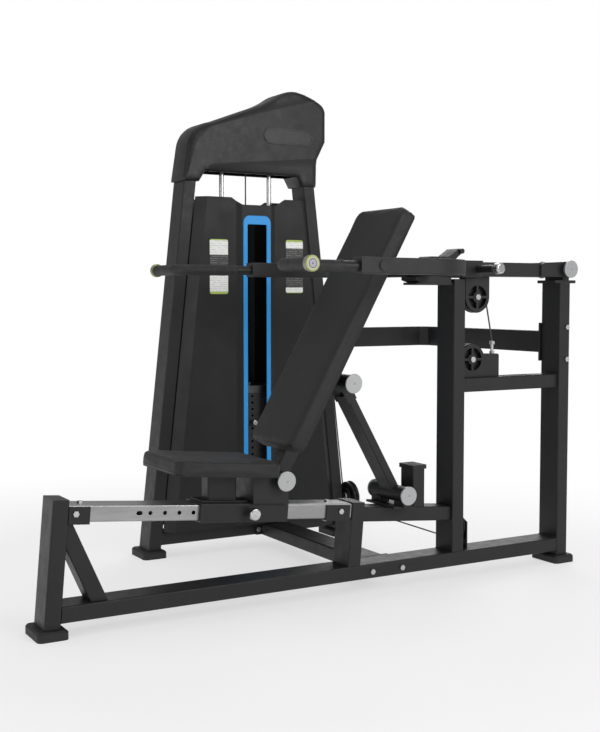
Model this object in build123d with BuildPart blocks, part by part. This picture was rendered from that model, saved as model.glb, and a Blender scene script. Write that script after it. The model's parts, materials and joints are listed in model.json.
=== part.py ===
"""Multi press with a weight stack: seat on a sliding carriage, linked back pad,
overhead press arm, cable drive and a free-standing stack tower.

X runs along the machine from the front post, Y from the main frame's centre plane to the tower, Z up.
The origin is on the floor, on the centre plane, below the front post's leading edge.
"""

import os
from math import atan2, cos, degrees, radians, sin, tan

from build123d import *

os.makedirs("parts", exist_ok=True)

# ---------------------------------------------------------------- driving dimensions (mm, degrees)

TUBE_WIDE = 100.0  # wide side of the frame tube
TUBE_THIN = 50.0  # narrow side of the frame tube
BRACE_WIDE = 75.0  # wide side of the lighter bracing tube
WALL = 3.0
CORNER = 5.0
PLATE = 8.0  # thickness of flanges and bracket plates

LEAN = 4.92  # slope of the seat rail and lean of the posts square to it
SLOPE = tan(radians(LEAN))
ALONG = Vector(cos(radians(LEAN)), 0, -sin(radians(LEAN)))  # down the rail
RISE = Vector(sin(radians(LEAN)), 0, cos(radians(LEAN)))  # square to the rail, up

FOOT_HEIGHT = 28.0
BASE_BOTTOM = 43.0
BASE_TOP = BASE_BOTTOM + TUBE_THIN
FRONT_POST_LENGTH = 407.0
RAIL_TOP = 395.2  # height of the rail's top face carried to X = 0
RAIL_WIDE = 88.0
SUPPORT_X = 1039.0  # leading edge of the rail support post on the base
SUPPORT_LENGTH = 214.0
BEAM_TOP = 381.9  # height of the upper beam's top face carried to X = 0
MIDDLE_POST_X = 1473.0
REAR_POST_X = 1961.0
MIDDLE_POST_TOP = 1053.0
REAR_POST_TOP = 1041.0
CROSS_BAR_Z = 655.0
CONNECT_X = 1197.0  # middle of the tube that ties the tower to the base
CONNECT_BOLTS = ((CONNECT_X - 60.5, 66.0), (CONNECT_X + 60.5, 66.0))
STAY_BOLTS = ((1996.0, 760.0), (1996.0, 879.0))
SOCKET_BOLTS_SIDE = (104.0, 1012.0)
SOCKET_BOLTS_UP = (131.0, 985.0)

SHAFT = 25.0  # pivot shaft diameter
RUNNING = 0.05  # radial running clearance of every pivot
CAP_DIAMETER = 64.0
CAP = 6.0  # thickness of the turned end caps
PIVOT_HALF = 98.0  # from the centre plane to the inside of the end caps

CARRIAGE_PIVOT = Vector(776.2, 0, 409.4)
PAD_PIVOT = Vector(1026.5, 0, 709.4)
LINK_PIVOT = Vector(1247.5, 0, 321.3)
ARM_PIVOT = Vector(1986.0, 0, 1092.0)

SLEEVE_FRONT = 501.0
SLEEVE_REAR = 808.0
SLEEVE_HALF = 56.0
HOLE_PITCH = 47.5  # spacing of the carriage stops along the rail
FIRST_HOLE = 339.0
HOLE_COUNT = 10
PIN_DIAMETER = 12.0

PAD_ANGLE = 60.9  # back pad from the horizontal
PAD_LENGTH = 888.0
PAD_HALF_WIDTH = 145.0
PAD_THICK = 55.0
PAD_FRONT_LOW = Vector(765.0, 0, 520.0)  # lower end of the back pad's front face

ARM_LOW = 1063.0  # underside of the lever beam
YOKE_LOW = 1060.0
YOKE_HALF = 347.0  # centre of each yoke arm
YOKE_FRONT = 880.0
YOKE_BACK = 1352.0  # centre line of the yoke's cross tube
YOKE_BEND = 186.0
HANDLE_DIAMETER = 32.0
HANDLE_Z = 1083.0
HANDLE_FRONT = 609.0
HANDLE_END = 540.0

PULLEY_DIAMETER = 112.0
PULLEY_THICK = 24.0
AXLE = 14.0  # bore of a pulley
CABLE_DIAMETER = 5.5
BOLT = 10.0  # frame bolts
BOLT_HOLE = 10.4
CABLE_LINE = PULLEY_DIAMETER / 2 - 6.0  # radius of the cable's centre line on a pulley
GROOVE = CABLE_DIAMETER / 2 + 0.4  # radius of the groove's bottom
CABLE_GAP = 0.7  # between a straight run and the length it joins
ARM_PULLEY = Vector(1600, 0, 990)
IDLER = Vector(1580, 0, 769)
DROP_X = IDLER.X - CABLE_LINE  # plane of the falling cable beside the middle post

TOWER_X = 1106.0
TOWER_FRONT = 765.0
TOWER_BACK = TOWER_FRONT + TUBE_WIDE
STACK_Y = 815.0
TOWER_SLOPE = 0.1105
TOWER_LEAN = degrees(atan2(TOWER_SLOPE, 1))
TOWER_HALF = 444.0  # outer half width of the columns carried to the floor
TOWER_COLUMN_TOP = 1500.0
ROD_SPACING = 210.0
ROD_DIAMETER = 19.0
PLATE_PITCH = 25.5
PLATE_GAP = 0.5
PLATE_COUNT = 19
PINNED_PLATE = 14  # plates below this one stay down
STACK_LOW = 128.0
SHROUD_FRONT = 730.0
BAND_FRONT = 720.0
SHROUD_WALL = 3.0
SLOT_LOW = 187.0
SLOT_TOP = 1304.0


# ---------------------------------------------------------------- shared shapes


def tube_section(thin, wide, wall=WALL):
    """Rounded hollow rectangle, drawn in the sketch that is open."""
    RectangleRounded(thin, wide, CORNER)
    RectangleRounded(thin - 2 * wall, wide - 2 * wall, CORNER - wall + 1, mode=Mode.SUBTRACT)


def rail_top(x):
    """Height of the rail's top face."""
    return RAIL_TOP - x * SLOPE


def rail_section(x, drop):
    """Plane across the rail, drop below the rail's top face."""
    on_top = Vector(x, 0, rail_top(x))
    return Plane(origin=on_top - RISE * drop, x_dir=(0, 1, 0), z_dir=ALONG)


def lean_section(x):
    """Plane across a post that leans square to the rail, its centre line meeting the floor at x."""
    return Plane(origin=(x, 0, 0), x_dir=ALONG, z_dir=RISE)


def rail_level(drop):
    """Plane parallel to the rail's top face, drop below it, facing up."""
    return Plane(origin=Vector(0, 0, RAIL_TOP) - RISE * drop, x_dir=ALONG, z_dir=RISE)


def rail_flank(half):
    """Plane on the -Y side of a part of that half width: its axes run down the rail and square to it."""
    return Plane(origin=(0, -half, RAIL_TOP), x_dir=ALONG, z_dir=(0, -1, 0))


def side_plane(y):
    """Upright plane at y that faces -Y: its axes are X and Z."""
    return Plane(origin=(0, y, 0), x_dir=(1, 0, 0), z_dir=(0, -1, 0))


def xz(point):
    """Sketch coordinates of a point on a side plane."""
    return (point.X, point.Z)


def spots(plane, *points):
    """Locations on a plane, for holes and repeated pieces."""
    return [plane.location * Location((x, y, 0)) for x, y in points]


def bolt(plane, grip):
    """Frame bolt through grip of material: its head stands on the plane, its nut behind it."""
    thick = BOLT * 0.65
    with BuildPart() as one:
        with BuildSketch(plane):
            RegularPolygon(BOLT, 6)
        extrude(amount=thick)
        chamfer(one.faces().sort_by(Axis(plane.origin, plane.z_dir))[-1].edges(), BOLT * 0.1)
        with BuildSketch(plane.offset(-grip)):
            RegularPolygon(BOLT, 6)
        extrude(amount=-thick)
        with BuildSketch(plane):
            Circle(BOLT / 2)
        extrude(amount=-grip - thick - 2)
    return one.part


# ---------------------------------------------------------------- main frame

front_post_rear = Plane(origin=Vector(0, 0, 0) + ALONG * (TUBE_THIN + 0.2), z_dir=ALONG)
front_post_center = TUBE_THIN / 2 / cos(radians(LEAN))

with BuildPart() as front_post:
    with BuildSketch(lean_section(front_post_center)):
        RectangleRounded(TUBE_THIN, TUBE_WIDE, CORNER)
    extrude(amount=FRONT_POST_LENGTH)
    with BuildSketch(lean_section(front_post_center)):
        RectangleRounded(TUBE_THIN - 2 * WALL, TUBE_WIDE - 2 * WALL, 3)
    extrude(amount=FRONT_POST_LENGTH - PLATE, mode=Mode.SUBTRACT)
    split(bisect_by=Plane.XY.offset(FOOT_HEIGHT), keep=Keep.TOP)
front_post.part.label = "front_post"

with BuildPart() as base_tube:
    with BuildSketch(Plane(origin=(0, 0, BASE_BOTTOM + TUBE_THIN / 2), x_dir=(0, 0, 1), z_dir=(1, 0, 0))):
        tube_section(TUBE_THIN, TUBE_WIDE)
    extrude(amount=REAR_POST_X)
    split(bisect_by=front_post_rear, keep=Keep.TOP)
    with Locations(*spots(side_plane(-TUBE_WIDE / 2), *CONNECT_BOLTS)):
        Hole(BOLT_HOLE / 2, depth=TUBE_WIDE)
base_tube.part.label = "base_tube"

# The brace rises from the base to the front post, right under the rail's socket.
BRACE_FOOT = Vector(175.5, 0, BASE_TOP)
BRACE_HEAD = Vector(70.0, 0, 331.0)
brace_direction = (BRACE_HEAD - BRACE_FOOT).normalized()
with BuildPart() as front_brace:
    with BuildSketch(Plane(origin=BRACE_FOOT - brace_direction * 60, x_dir=(0, 1, 0),
                           z_dir=brace_direction)):
        tube_section(BRACE_WIDE, TUBE_THIN)
    extrude(amount=380)
    split(bisect_by=front_post_rear, keep=Keep.TOP)
    split(bisect_by=Plane.XY.offset(BASE_TOP), keep=Keep.TOP)
    split(bisect_by=rail_level(TUBE_THIN + 6.0), keep=Keep.BOTTOM)
front_brace.part.label = "front_brace"

support_center = SUPPORT_X + TUBE_THIN / 2 - BASE_TOP * SLOPE
with BuildPart() as rail_support_post:
    with BuildSketch(lean_section(support_center)):
        RectangleRounded(TUBE_THIN, TUBE_WIDE, CORNER)
    extrude(amount=BASE_TOP + SUPPORT_LENGTH)
    with BuildSketch(lean_section(support_center)):
        RectangleRounded(TUBE_THIN - 2 * WALL, TUBE_WIDE - 2 * WALL, 3)
    extrude(amount=BASE_TOP + SUPPORT_LENGTH - PLATE, mode=Mode.SUBTRACT)
    split(bisect_by=Plane.XY.offset(BASE_TOP), keep=Keep.TOP)
rail_support_post.part.label = "rail_support_post"

support_rear = Plane(origin=Vector(support_center, 0, 0) + ALONG * (TUBE_THIN / 2), z_dir=ALONG)
support_front = Plane(origin=Vector(support_center, 0, 0) - ALONG * (TUBE_THIN / 2), z_dir=ALONG)
beam_drop = (RAIL_TOP - BEAM_TOP) * cos(radians(LEAN))
with BuildPart() as upper_beam:
    with BuildSketch(rail_section(SUPPORT_X, beam_drop + TUBE_THIN / 2)):
        tube_section(BRACE_WIDE, TUBE_THIN)
    extrude(amount=MIDDLE_POST_X - SUPPORT_X + 50)
    split(bisect_by=support_rear, keep=Keep.TOP)
    split(bisect_by=Plane.YZ.offset(MIDDLE_POST_X), keep=Keep.BOTTOM)
upper_beam.part.label = "upper_beam"

# The middle post carries a bracket for the press arm's rubber stop.
with BuildPart() as middle_post:
    with BuildSketch(Plane.XY.offset(BASE_TOP)):
        with Locations((MIDDLE_POST_X + TUBE_THIN / 2, 0)):
            RectangleRounded(TUBE_THIN, TUBE_WIDE, CORNER)
    extrude(amount=MIDDLE_POST_TOP - BASE_TOP)
    with BuildSketch(Plane.XY.offset(BASE_TOP)):
        with Locations((MIDDLE_POST_X + TUBE_THIN / 2, 0)):
            RectangleRounded(TUBE_THIN - 2 * WALL, TUBE_WIDE - 2 * WALL, 3)
    extrude(amount=MIDDLE_POST_TOP - BASE_TOP - PLATE, mode=Mode.SUBTRACT)
    with BuildSketch(Plane.XY.offset(MIDDLE_POST_TOP - 21.0)):
        with Locations((MIDDLE_POST_X - 76.0, 0)):
            Rectangle(154.0, 80.0)
    extrude(amount=PLATE)
middle_post.part.label = "middle_post"

with BuildPart() as rear_post:
    with BuildSketch(Plane.XY.offset(FOOT_HEIGHT)):
        with Locations((REAR_POST_X + TUBE_THIN / 2, 0)):
            tube_section(TUBE_THIN, TUBE_WIDE)
    extrude(amount=REAR_POST_TOP - FOOT_HEIGHT)
    with Locations(*spots(side_plane(-TUBE_WIDE / 2), *STAY_BOLTS)):
        Hole(BOLT_HOLE / 2, depth=TUBE_WIDE)
rear_post.part.label = "rear_post"

# The falling cable passes through the cross bar beside the middle post.
with BuildPart() as cross_bar:
    with BuildSketch(Plane(origin=(MIDDLE_POST_X + TUBE_THIN, 0, CROSS_BAR_Z + TUBE_THIN / 2),
                           x_dir=(0, 1, 0), z_dir=(1, 0, 0))):
        tube_section(BRACE_WIDE, TUBE_THIN)
    extrude(amount=REAR_POST_X - MIDDLE_POST_X - TUBE_THIN)
    with BuildSketch(Plane.XY.offset(CROSS_BAR_Z - 5)):
        with Locations((DROP_X + 5, 0)):
            SlotOverall(26.0, 14.0)
    extrude(amount=TUBE_THIN + 10, mode=Mode.SUBTRACT)
cross_bar.part.label = "cross_bar"

# ---------------------------------------------------------------- seat rail and its sockets

SOCKET_WALL = 6.0
socket_spans = ((82.0, 148.0), (958.0, SUPPORT_X + 9.5))
socket_side_points = [(x / cos(radians(LEAN)), -TUBE_THIN / 2) for x in SOCKET_BOLTS_SIDE]
socket_up_points = [(x / cos(radians(LEAN)), 0) for x in SOCKET_BOLTS_UP]

with BuildPart() as seat_rail:
    with BuildSketch(rail_section(83.0, TUBE_THIN / 2)):
        tube_section(RAIL_WIDE, TUBE_THIN)
    extrude(amount=1000.0)
    split(bisect_by=front_post_rear, keep=Keep.TOP)
    split(bisect_by=support_front, keep=Keep.BOTTOM)
    with BuildSketch(rail_flank(RAIL_WIDE / 2)):
        with Locations(*[((FIRST_HOLE + i * HOLE_PITCH) / cos(radians(LEAN)), -TUBE_THIN / 2)
                         for i in range(HOLE_COUNT)]):
            Circle(PIN_DIAMETER / 2 + 0.5)
        with Locations((FIRST_HOLE - 34.0, -TUBE_THIN / 2)):
            SlotOverall(20.0, PIN_DIAMETER + 1)
    extrude(amount=-10.0, mode=Mode.SUBTRACT)
    with Locations(*spots(rail_flank(TUBE_WIDE / 2), *socket_side_points)):
        Hole(BOLT_HOLE / 2, depth=TUBE_WIDE)
    with Locations(*spots(rail_level(0), *socket_up_points)):
        Hole(BOLT_HOLE / 2, depth=TUBE_THIN)
seat_rail.part.label = "seat_rail"

with BuildPart() as rail_sockets:
    for start, end in socket_spans:
        with BuildSketch(rail_section(start, TUBE_THIN / 2)):
            with Locations((0, -SOCKET_WALL / 2 - 2)):
                Rectangle(RAIL_WIDE + 2 * SOCKET_WALL, TUBE_THIN + SOCKET_WALL - 4)
            with Locations((0, 5)):
                Rectangle(RAIL_WIDE, TUBE_THIN + 10, mode=Mode.SUBTRACT)
        extrude(amount=(end - start) / cos(radians(LEAN)))
    split(bisect_by=front_post_rear, keep=Keep.TOP)
    split(bisect_by=support_front, keep=Keep.BOTTOM)
    with Locations(*spots(rail_flank(TUBE_WIDE / 2), *socket_side_points)):
        Hole(BOLT_HOLE / 2, depth=TUBE_WIDE)
    with Locations(*spots(rail_level(0), *socket_up_points)):
        Hole(BOLT_HOLE / 2, depth=TUBE_THIN + 20)
rail_sockets.part.label = "rail_sockets"

# ---------------------------------------------------------------- stops and feet

STOP_POST_X = 1311.0
STOP_POST_TOP = 398.0
beam_top_plane = rail_level(beam_drop)
with BuildPart() as stop_post:
    with BuildSketch(Plane.XY.offset(BASE_TOP + 150)):
        with Locations((STOP_POST_X + TUBE_THIN / 2, 0)):
            tube_section(TUBE_THIN, BRACE_WIDE)
    extrude(amount=STOP_POST_TOP - BASE_TOP - 150)
    split(bisect_by=beam_top_plane, keep=Keep.TOP)
stop_post.part.label = "stop_post"

# Rubber and plastic stops: stop post cap, press arm rest, bumpers under the weight stack.
with BuildPart() as rubber_stops:
    with BuildSketch(Plane.XY.offset(STOP_POST_TOP)):
        with Locations((STOP_POST_X + TUBE_THIN / 2, 0)):
            RectangleRounded(TUBE_THIN + 10, BRACE_WIDE + 10, CORNER)
    extrude(amount=14.0)
    with BuildSketch(Plane.XZ):
        with BuildLine():
            Polyline((MIDDLE_POST_X - 160, MIDDLE_POST_TOP - 5), (MIDDLE_POST_X - 160, YOKE_LOW),
                     (MIDDLE_POST_X - 8, YOKE_LOW), (MIDDLE_POST_X - 8, MIDDLE_POST_TOP - 13),
                     (MIDDLE_POST_X - 135, MIDDLE_POST_TOP - 13), close=True)
        make_face()
    extrude(amount=42.0, both=True)
    for side in (-1, 1):
        with BuildSketch(Plane.XY.offset(BASE_TOP)):
            with Locations((TOWER_X + side * ROD_SPACING / 2, STACK_Y)):
                Circle(28.0)
                Circle(ROD_DIAMETER / 2 + 1, mode=Mode.SUBTRACT)
        extrude(amount=STACK_LOW - BASE_TOP)
rubber_stops.part.label = "rubber_stops"


def tower_face(z, side, inset=0.0):
    """X of a tower column's outer face at height z, moved inwards by inset."""
    return TOWER_X + side * (TOWER_HALF - TOWER_SLOPE * z - inset)


foot_centers = (
    (TUBE_THIN / 2 + 1.0, 0),
    (REAR_POST_X + TUBE_THIN / 2, 0),
    (tower_face(0, -1, TUBE_THIN / 2 - 1), STACK_Y),
    (tower_face(0, 1, TUBE_THIN / 2 - 1), STACK_Y),
)
with BuildPart() as foot_pads:
    with BuildSketch():
        with Locations(*foot_centers):
            RectangleRounded(TUBE_THIN + 44, TUBE_WIDE + 40, 16)
    extrude(amount=FOOT_HEIGHT)
    chamfer(foot_pads.edges().filter_by(Plane.XY).group_by(Axis.Z)[-1], 6.0)
foot_pads.part.label = "foot_pads"

# ---------------------------------------------------------------- pivots on the frame

# The link turns on a shaft held in two housings on a plate bolted to the upper beam.
LINK_HALF = 40.0
HOUSING = 56.0
with BuildPart() as link_pivot_stand:
    with BuildSketch(beam_top_plane):
        with Locations((LINK_PIVOT.X / cos(radians(LEAN)) - 3.0, 0)):
            Rectangle(90.0, 170.0)
    extrude(amount=PLATE)
    for side in (-1, 1):
        with BuildSketch(side_plane(side * (PIVOT_HALF + LINK_HALF) / 2)):
            with Locations(xz(LINK_PIVOT)):
                Circle(HOUSING / 2)
            with Locations((LINK_PIVOT.X, LINK_PIVOT.Z - 20)):
                Rectangle(36.0, 40.0)
        extrude(amount=(PIVOT_HALF - LINK_HALF) / 2 - 0.5, both=True)
    split(bisect_by=beam_top_plane, keep=Keep.TOP)
    with BuildSketch(side_plane(0)):
        with Locations(xz(LINK_PIVOT)):
            Circle(SHAFT / 2)
    extrude(amount=200, both=True, mode=Mode.SUBTRACT)
    with BuildSketch(side_plane(0)):
        with Locations(xz(LINK_PIVOT)):
            Circle(HOUSING / 2 + 4)
    extrude(amount=LINK_HALF + 0.5, both=True, mode=Mode.SUBTRACT)
link_pivot_stand.part.label = "link_pivot_stand"


def capped_shaft(center, half, grip=PIVOT_HALF):
    """Shaft through center along Y, closed at both ends by a turned cap with a shallow centre mark."""
    with BuildPart() as shaft:
        with BuildSketch(side_plane(0)):
            with Locations(xz(center)):
                Circle(SHAFT / 2)
        extrude(amount=half, both=True)
        for side in (-1, 1):
            cap_center = center + Vector(0, side * grip, 0)
            cap_plane = Plane(origin=cap_center, x_dir=(1, 0, 0), z_dir=(0, side, 0))
            with BuildSketch(cap_plane):
                Circle(CAP_DIAMETER / 2)
            extrude(amount=CAP)
            chamfer(shaft.faces().sort_by(Axis(center, (0, side, 0)))[-1].edges(), 1.5)
            with BuildSketch(cap_plane.offset(CAP)):
                Circle(4.0)
            extrude(amount=-2.0, mode=Mode.SUBTRACT)
    return shaft.part


with BuildPart() as link_pivot_shaft:
    add(capped_shaft(LINK_PIVOT, PIVOT_HALF))
link_pivot_shaft.part.label = "link_pivot_shaft"

HOUSING_HALF = 48.0
with BuildPart() as arm_pivot_stand:
    with BuildSketch(Plane.XY.offset(REAR_POST_TOP)):
        with Locations((REAR_POST_X + TUBE_THIN / 2 + 1.5, 0)):
            RectangleRounded(101.0, TUBE_WIDE, 4)
    extrude(amount=11.0)
    with BuildSketch(side_plane(0)):
        with Locations(xz(ARM_PIVOT)):
            Circle(HOUSING / 2)
        with Locations((ARM_PIVOT.X + 4, ARM_PIVOT.Z - 23)):
            Rectangle(30.0, 36.0)
    extrude(amount=HOUSING_HALF, both=True)
    with BuildSketch(side_plane(0)):
        with Locations(xz(ARM_PIVOT)):
            Circle(SHAFT / 2 + RUNNING)
    extrude(amount=200, both=True, mode=Mode.SUBTRACT)
arm_pivot_stand.part.label = "arm_pivot_stand"

# ---------------------------------------------------------------- tie to the tower

FLANGE_REACH = 140.0
with BuildPart() as connection_tube:
    with BuildSketch(Plane(origin=(CONNECT_X, TUBE_WIDE / 2, BASE_BOTTOM + TUBE_THIN / 2),
                           x_dir=(1, 0, 0), z_dir=(0, 1, 0))):
        tube_section(TUBE_WIDE, TUBE_THIN)
    extrude(amount=TOWER_FRONT + 12.5 - TUBE_WIDE / 2)
    for y in (TUBE_WIDE / 2, TOWER_FRONT + 12.5 - PLATE):
        with BuildSketch(Plane(origin=(CONNECT_X, y, BASE_BOTTOM + TUBE_THIN / 2),
                               x_dir=(1, 0, 0), z_dir=(0, 1, 0))):
            Rectangle(FLANGE_REACH, TUBE_THIN)
            Rectangle(TUBE_WIDE - 2 * WALL, TUBE_THIN - 2 * WALL, mode=Mode.SUBTRACT)
        extrude(amount=PLATE)
    with Locations(*spots(side_plane(TUBE_WIDE / 2), *CONNECT_BOLTS)):
        Hole(BOLT_HOLE / 2, depth=TOWER_FRONT)
connection_tube.part.label = "connection_tube"

STAY_LOW = 782.0
STAY_HIGH = 862.0
STAY_THICK = 40.0
STAY_CORNER_X = REAR_POST_X + TUBE_THIN / 2
column_skin = Plane(
    origin=(tower_face(0, 1), STACK_Y, 0),
    z_dir=(cos(radians(TOWER_LEAN)), 0, sin(radians(TOWER_LEAN))),
)


def stay_outline(inset):
    """Plan of the stabiliser beam, its sides moved inwards, drawn in the open line builder."""
    far = STACK_Y + STAY_THICK / 2 - inset
    near = STACK_Y - STAY_THICK / 2 + inset
    outer = STAY_CORNER_X + STAY_THICK / 2 - inset
    inner = STAY_CORNER_X - STAY_THICK / 2 + inset
    column = tower_face(STAY_HIGH, 1, 20.0)
    Polyline((column, near), (inner - 25, near), (inner, near - 25), (inner, TUBE_WIDE / 2),
             (outer, TUBE_WIDE / 2), (outer, far - 40), (outer - 40, far), (column, far), close=True)


# The rising cable passes through a slot in the beam, beside the column.
with BuildPart() as stabiliser_beam:
    with BuildSketch(Plane.XY.offset(STAY_LOW)):
        with BuildLine():
            stay_outline(0.0)
        make_face()
    extrude(amount=STAY_HIGH - STAY_LOW)
    with BuildSketch(Plane.XY.offset(STAY_LOW + WALL)):
        with BuildLine():
            stay_outline(WALL)
        make_face()
    extrude(amount=STAY_HIGH - STAY_LOW - 2 * WALL, mode=Mode.SUBTRACT)
    split(bisect_by=column_skin, keep=Keep.TOP)
    with BuildSketch(Plane.XY.offset(STAY_LOW - 5)):
        with Locations((tower_face((STAY_LOW + STAY_HIGH) / 2, 1, -26.0), STACK_Y)):
            SlotOverall(34.0, 16.0)
    extrude(amount=STAY_HIGH - STAY_LOW + 10, mode=Mode.SUBTRACT)
    with BuildSketch(Plane(origin=(STAY_CORNER_X, TUBE_WIDE / 2, (STAY_LOW + STAY_HIGH) / 2),
                           x_dir=(1, 0, 0), z_dir=(0, 1, 0))):
        Rectangle(62.0, 143.0)
    extrude(amount=PLATE)
    with Locations(*spots(side_plane(TUBE_WIDE / 2), *STAY_BOLTS)):
        Hole(BOLT_HOLE / 2, depth=PLATE)
stabiliser_beam.part.label = "stabiliser_beam"

# ---------------------------------------------------------------- weight stack tower

with BuildPart() as tower_frame:
    for side in (-1, 1):
        column_x = tower_face(0, side, TUBE_THIN / 2 / cos(radians(TOWER_LEAN)))
        column_plane = Plane(
            origin=(column_x, (TOWER_FRONT + TOWER_BACK) / 2, 0),
            x_dir=(0, 1, 0),
            z_dir=(-side * sin(radians(TOWER_LEAN)), 0, cos(radians(TOWER_LEAN))),
        )
        with BuildSketch(column_plane):
            tube_section(TUBE_WIDE, TUBE_THIN)
        extrude(amount=TOWER_COLUMN_TOP + 60)
    split(bisect_by=Plane.XY.offset(FOOT_HEIGHT), keep=Keep.TOP)
    split(bisect_by=Plane.XY.offset(TOWER_COLUMN_TOP), keep=Keep.BOTTOM)
tower_frame.part.label = "tower_frame"

base_beam_half = TOWER_HALF - TUBE_THIN / cos(radians(TOWER_LEAN))
with BuildPart() as tower_cross_beams:
    with BuildSketch(Plane(origin=(TOWER_X, STACK_Y, BASE_BOTTOM + TUBE_THIN / 2),
                           x_dir=(0, 1, 0), z_dir=(1, 0, 0))):
        tube_section(BRACE_WIDE, TUBE_THIN)
    extrude(amount=base_beam_half, both=True)
    for side in (-1, 1):
        inner_face = Plane(origin=(TOWER_X + side * base_beam_half, STACK_Y, 0),
                           z_dir=(side * cos(radians(TOWER_LEAN)), 0, sin(radians(TOWER_LEAN))))
        split(bisect_by=inner_face, keep=Keep.BOTTOM)
    with BuildSketch(Plane(origin=(TOWER_X, STACK_Y, TOWER_COLUMN_TOP + TUBE_THIN / 2),
                           x_dir=(0, 1, 0), z_dir=(1, 0, 0))):
        tube_section(BRACE_WIDE, TUBE_THIN)
    extrude(amount=262.0, both=True)
    for side in (-1, 1):
        with BuildSketch(Plane.XY.offset(BASE_BOTTOM)):
            with Locations((TOWER_X + side * ROD_SPACING / 2, STACK_Y)):
                Circle(ROD_DIAMETER / 2)
        extrude(amount=TUBE_THIN, mode=Mode.SUBTRACT)
    with BuildSketch(Plane.XY.offset(TOWER_COLUMN_TOP)):
        with Locations((TOWER_X, STACK_Y)):
            SlotOverall(40.0, 24.0)
    extrude(amount=TUBE_THIN, mode=Mode.SUBTRACT)
    with Locations(*spots(side_plane(STACK_Y - BRACE_WIDE / 2), *CONNECT_BOLTS)):
        Hole(BOLT_HOLE / 2, depth=10.0)
tower_cross_beams.part.label = "tower_cross_beams"

with BuildPart() as guide_rods:
    with BuildSketch(Plane.XY.offset(BASE_BOTTOM)):
        with Locations((TOWER_X - ROD_SPACING / 2, STACK_Y), (TOWER_X + ROD_SPACING / 2, STACK_Y)):
            Circle(ROD_DIAMETER / 2)
    extrude(amount=TOWER_COLUMN_TOP - BASE_BOTTOM)
guide_rods.part.label = "guide_rods"

PLATE_WIDE = 250.0
PLATE_DEEP = 110.0
STEM = 25.0
STEM_SLOT = 34.0


def plate_sketch():
    """One weight plate from above, drawn in the sketch that is open."""
    with Locations((TOWER_X, STACK_Y)):
        RectangleRounded(PLATE_WIDE, PLATE_DEEP, 8)
        Circle(STEM_SLOT / 2, mode=Mode.SUBTRACT)
        with Locations((-ROD_SPACING / 2, 0), (ROD_SPACING / 2, 0)):
            Circle(ROD_DIAMETER / 2 + 1, mode=Mode.SUBTRACT)


def plate_bottom(index):
    """Height of the underside of a plate, counted from the bottom."""
    return STACK_LOW + index * PLATE_PITCH


PIN_HOLE = 10.0
stack_front = Plane(origin=(TOWER_X, STACK_Y - PLATE_DEEP / 2, 0), x_dir=(1, 0, 0), z_dir=(0, -1, 0))
with BuildPart() as weight_plates_lower:
    for i in range(PINNED_PLATE):
        with BuildSketch(Plane.XY.offset(plate_bottom(i))):
            plate_sketch()
        extrude(amount=PLATE_PITCH - PLATE_GAP)
    with BuildSketch(stack_front):
        with Locations(*[(0, plate_bottom(i) + PLATE_PITCH / 2) for i in range(PINNED_PLATE)]):
            Circle(PIN_HOLE / 2)
    extrude(amount=-PLATE_DEEP / 2, mode=Mode.SUBTRACT)
weight_plates_lower.part.label = "weight_plates_lower"

with BuildPart() as weight_plates_lifted:
    for i in range(PINNED_PLATE, PLATE_COUNT):
        with BuildSketch(Plane.XY.offset(plate_bottom(i))):
            plate_sketch()
        extrude(amount=PLATE_PITCH - PLATE_GAP)
    with BuildSketch(stack_front):
        with Locations(*[(0, plate_bottom(i) + PLATE_PITCH / 2) for i in range(PINNED_PLATE, PLATE_COUNT)]):
            Circle(PIN_HOLE / 2)
    extrude(amount=-PLATE_DEEP / 2, mode=Mode.SUBTRACT)
weight_plates_lifted.part.label = "weight_plates_lifted"

# The selector stem hangs from the top plate through all the others, with one cross hole per plate.
HEAD_LOW = plate_bottom(PLATE_COUNT)
HEAD_THICK = 28.0
STEM_TOP = HEAD_LOW + HEAD_THICK + 34.0
with BuildPart() as selector_stem:
    with BuildSketch(Plane.XY.offset(HEAD_LOW)):
        with Locations((TOWER_X, STACK_Y)):
            RectangleRounded(PLATE_WIDE, PLATE_DEEP, 8)
            with Locations((-ROD_SPACING / 2, 0), (ROD_SPACING / 2, 0)):
                Circle(ROD_DIAMETER / 2 + 1, mode=Mode.SUBTRACT)
    extrude(amount=HEAD_THICK)
    with BuildSketch(Plane.XY.offset(STACK_LOW + 6)):
        with Locations((TOWER_X, STACK_Y)):
            Circle(STEM / 2)
    extrude(amount=STEM_TOP - STACK_LOW - 6)
    with BuildSketch(stack_front):
        with Locations(*[(0, plate_bottom(i) + PLATE_PITCH / 2) for i in range(PLATE_COUNT)]):
            Circle(PIN_HOLE / 2)
    extrude(amount=-PLATE_DEEP, mode=Mode.SUBTRACT)
    with BuildSketch(Plane.XY.offset(HEAD_LOW + HEAD_THICK)):
        with Locations((TOWER_X, STACK_Y)):
            RegularPolygon(22.0, 6)
            Circle(STEM / 2, mode=Mode.SUBTRACT)
    extrude(amount=12.0)
selector_stem.part.label = "selector_stem"

PIN_Z = plate_bottom(PINNED_PLATE) + PLATE_PITCH / 2
with BuildPart() as selector_pin:
    with BuildSketch(stack_front.offset(2.0)):
        with Locations((0, PIN_Z)):
            Circle(PIN_HOLE / 2 - 0.5)
    extrude(amount=-(PLATE_DEEP / 2 + 2 + STEM / 2 + 3))
    with BuildSketch(stack_front.offset(2.0)):
        with Locations((0, PIN_Z)):
            Circle(11.0)
    extrude(amount=26.0)
    fillet(selector_pin.faces().sort_by(Axis.Y)[0].edges(), 4.0)
selector_pin.part.label = "selector_pin"

# ---------------------------------------------------------------- covers of the tower

SHROUD_LOW = 96.0
SHROUD_TOP = 1372.0
SHROUD_DIP = 1345.0
BEVEL = TOWER_FRONT - SHROUD_FRONT
BAND_HALF = 64.0
BAND_BEVEL = 20.0


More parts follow.
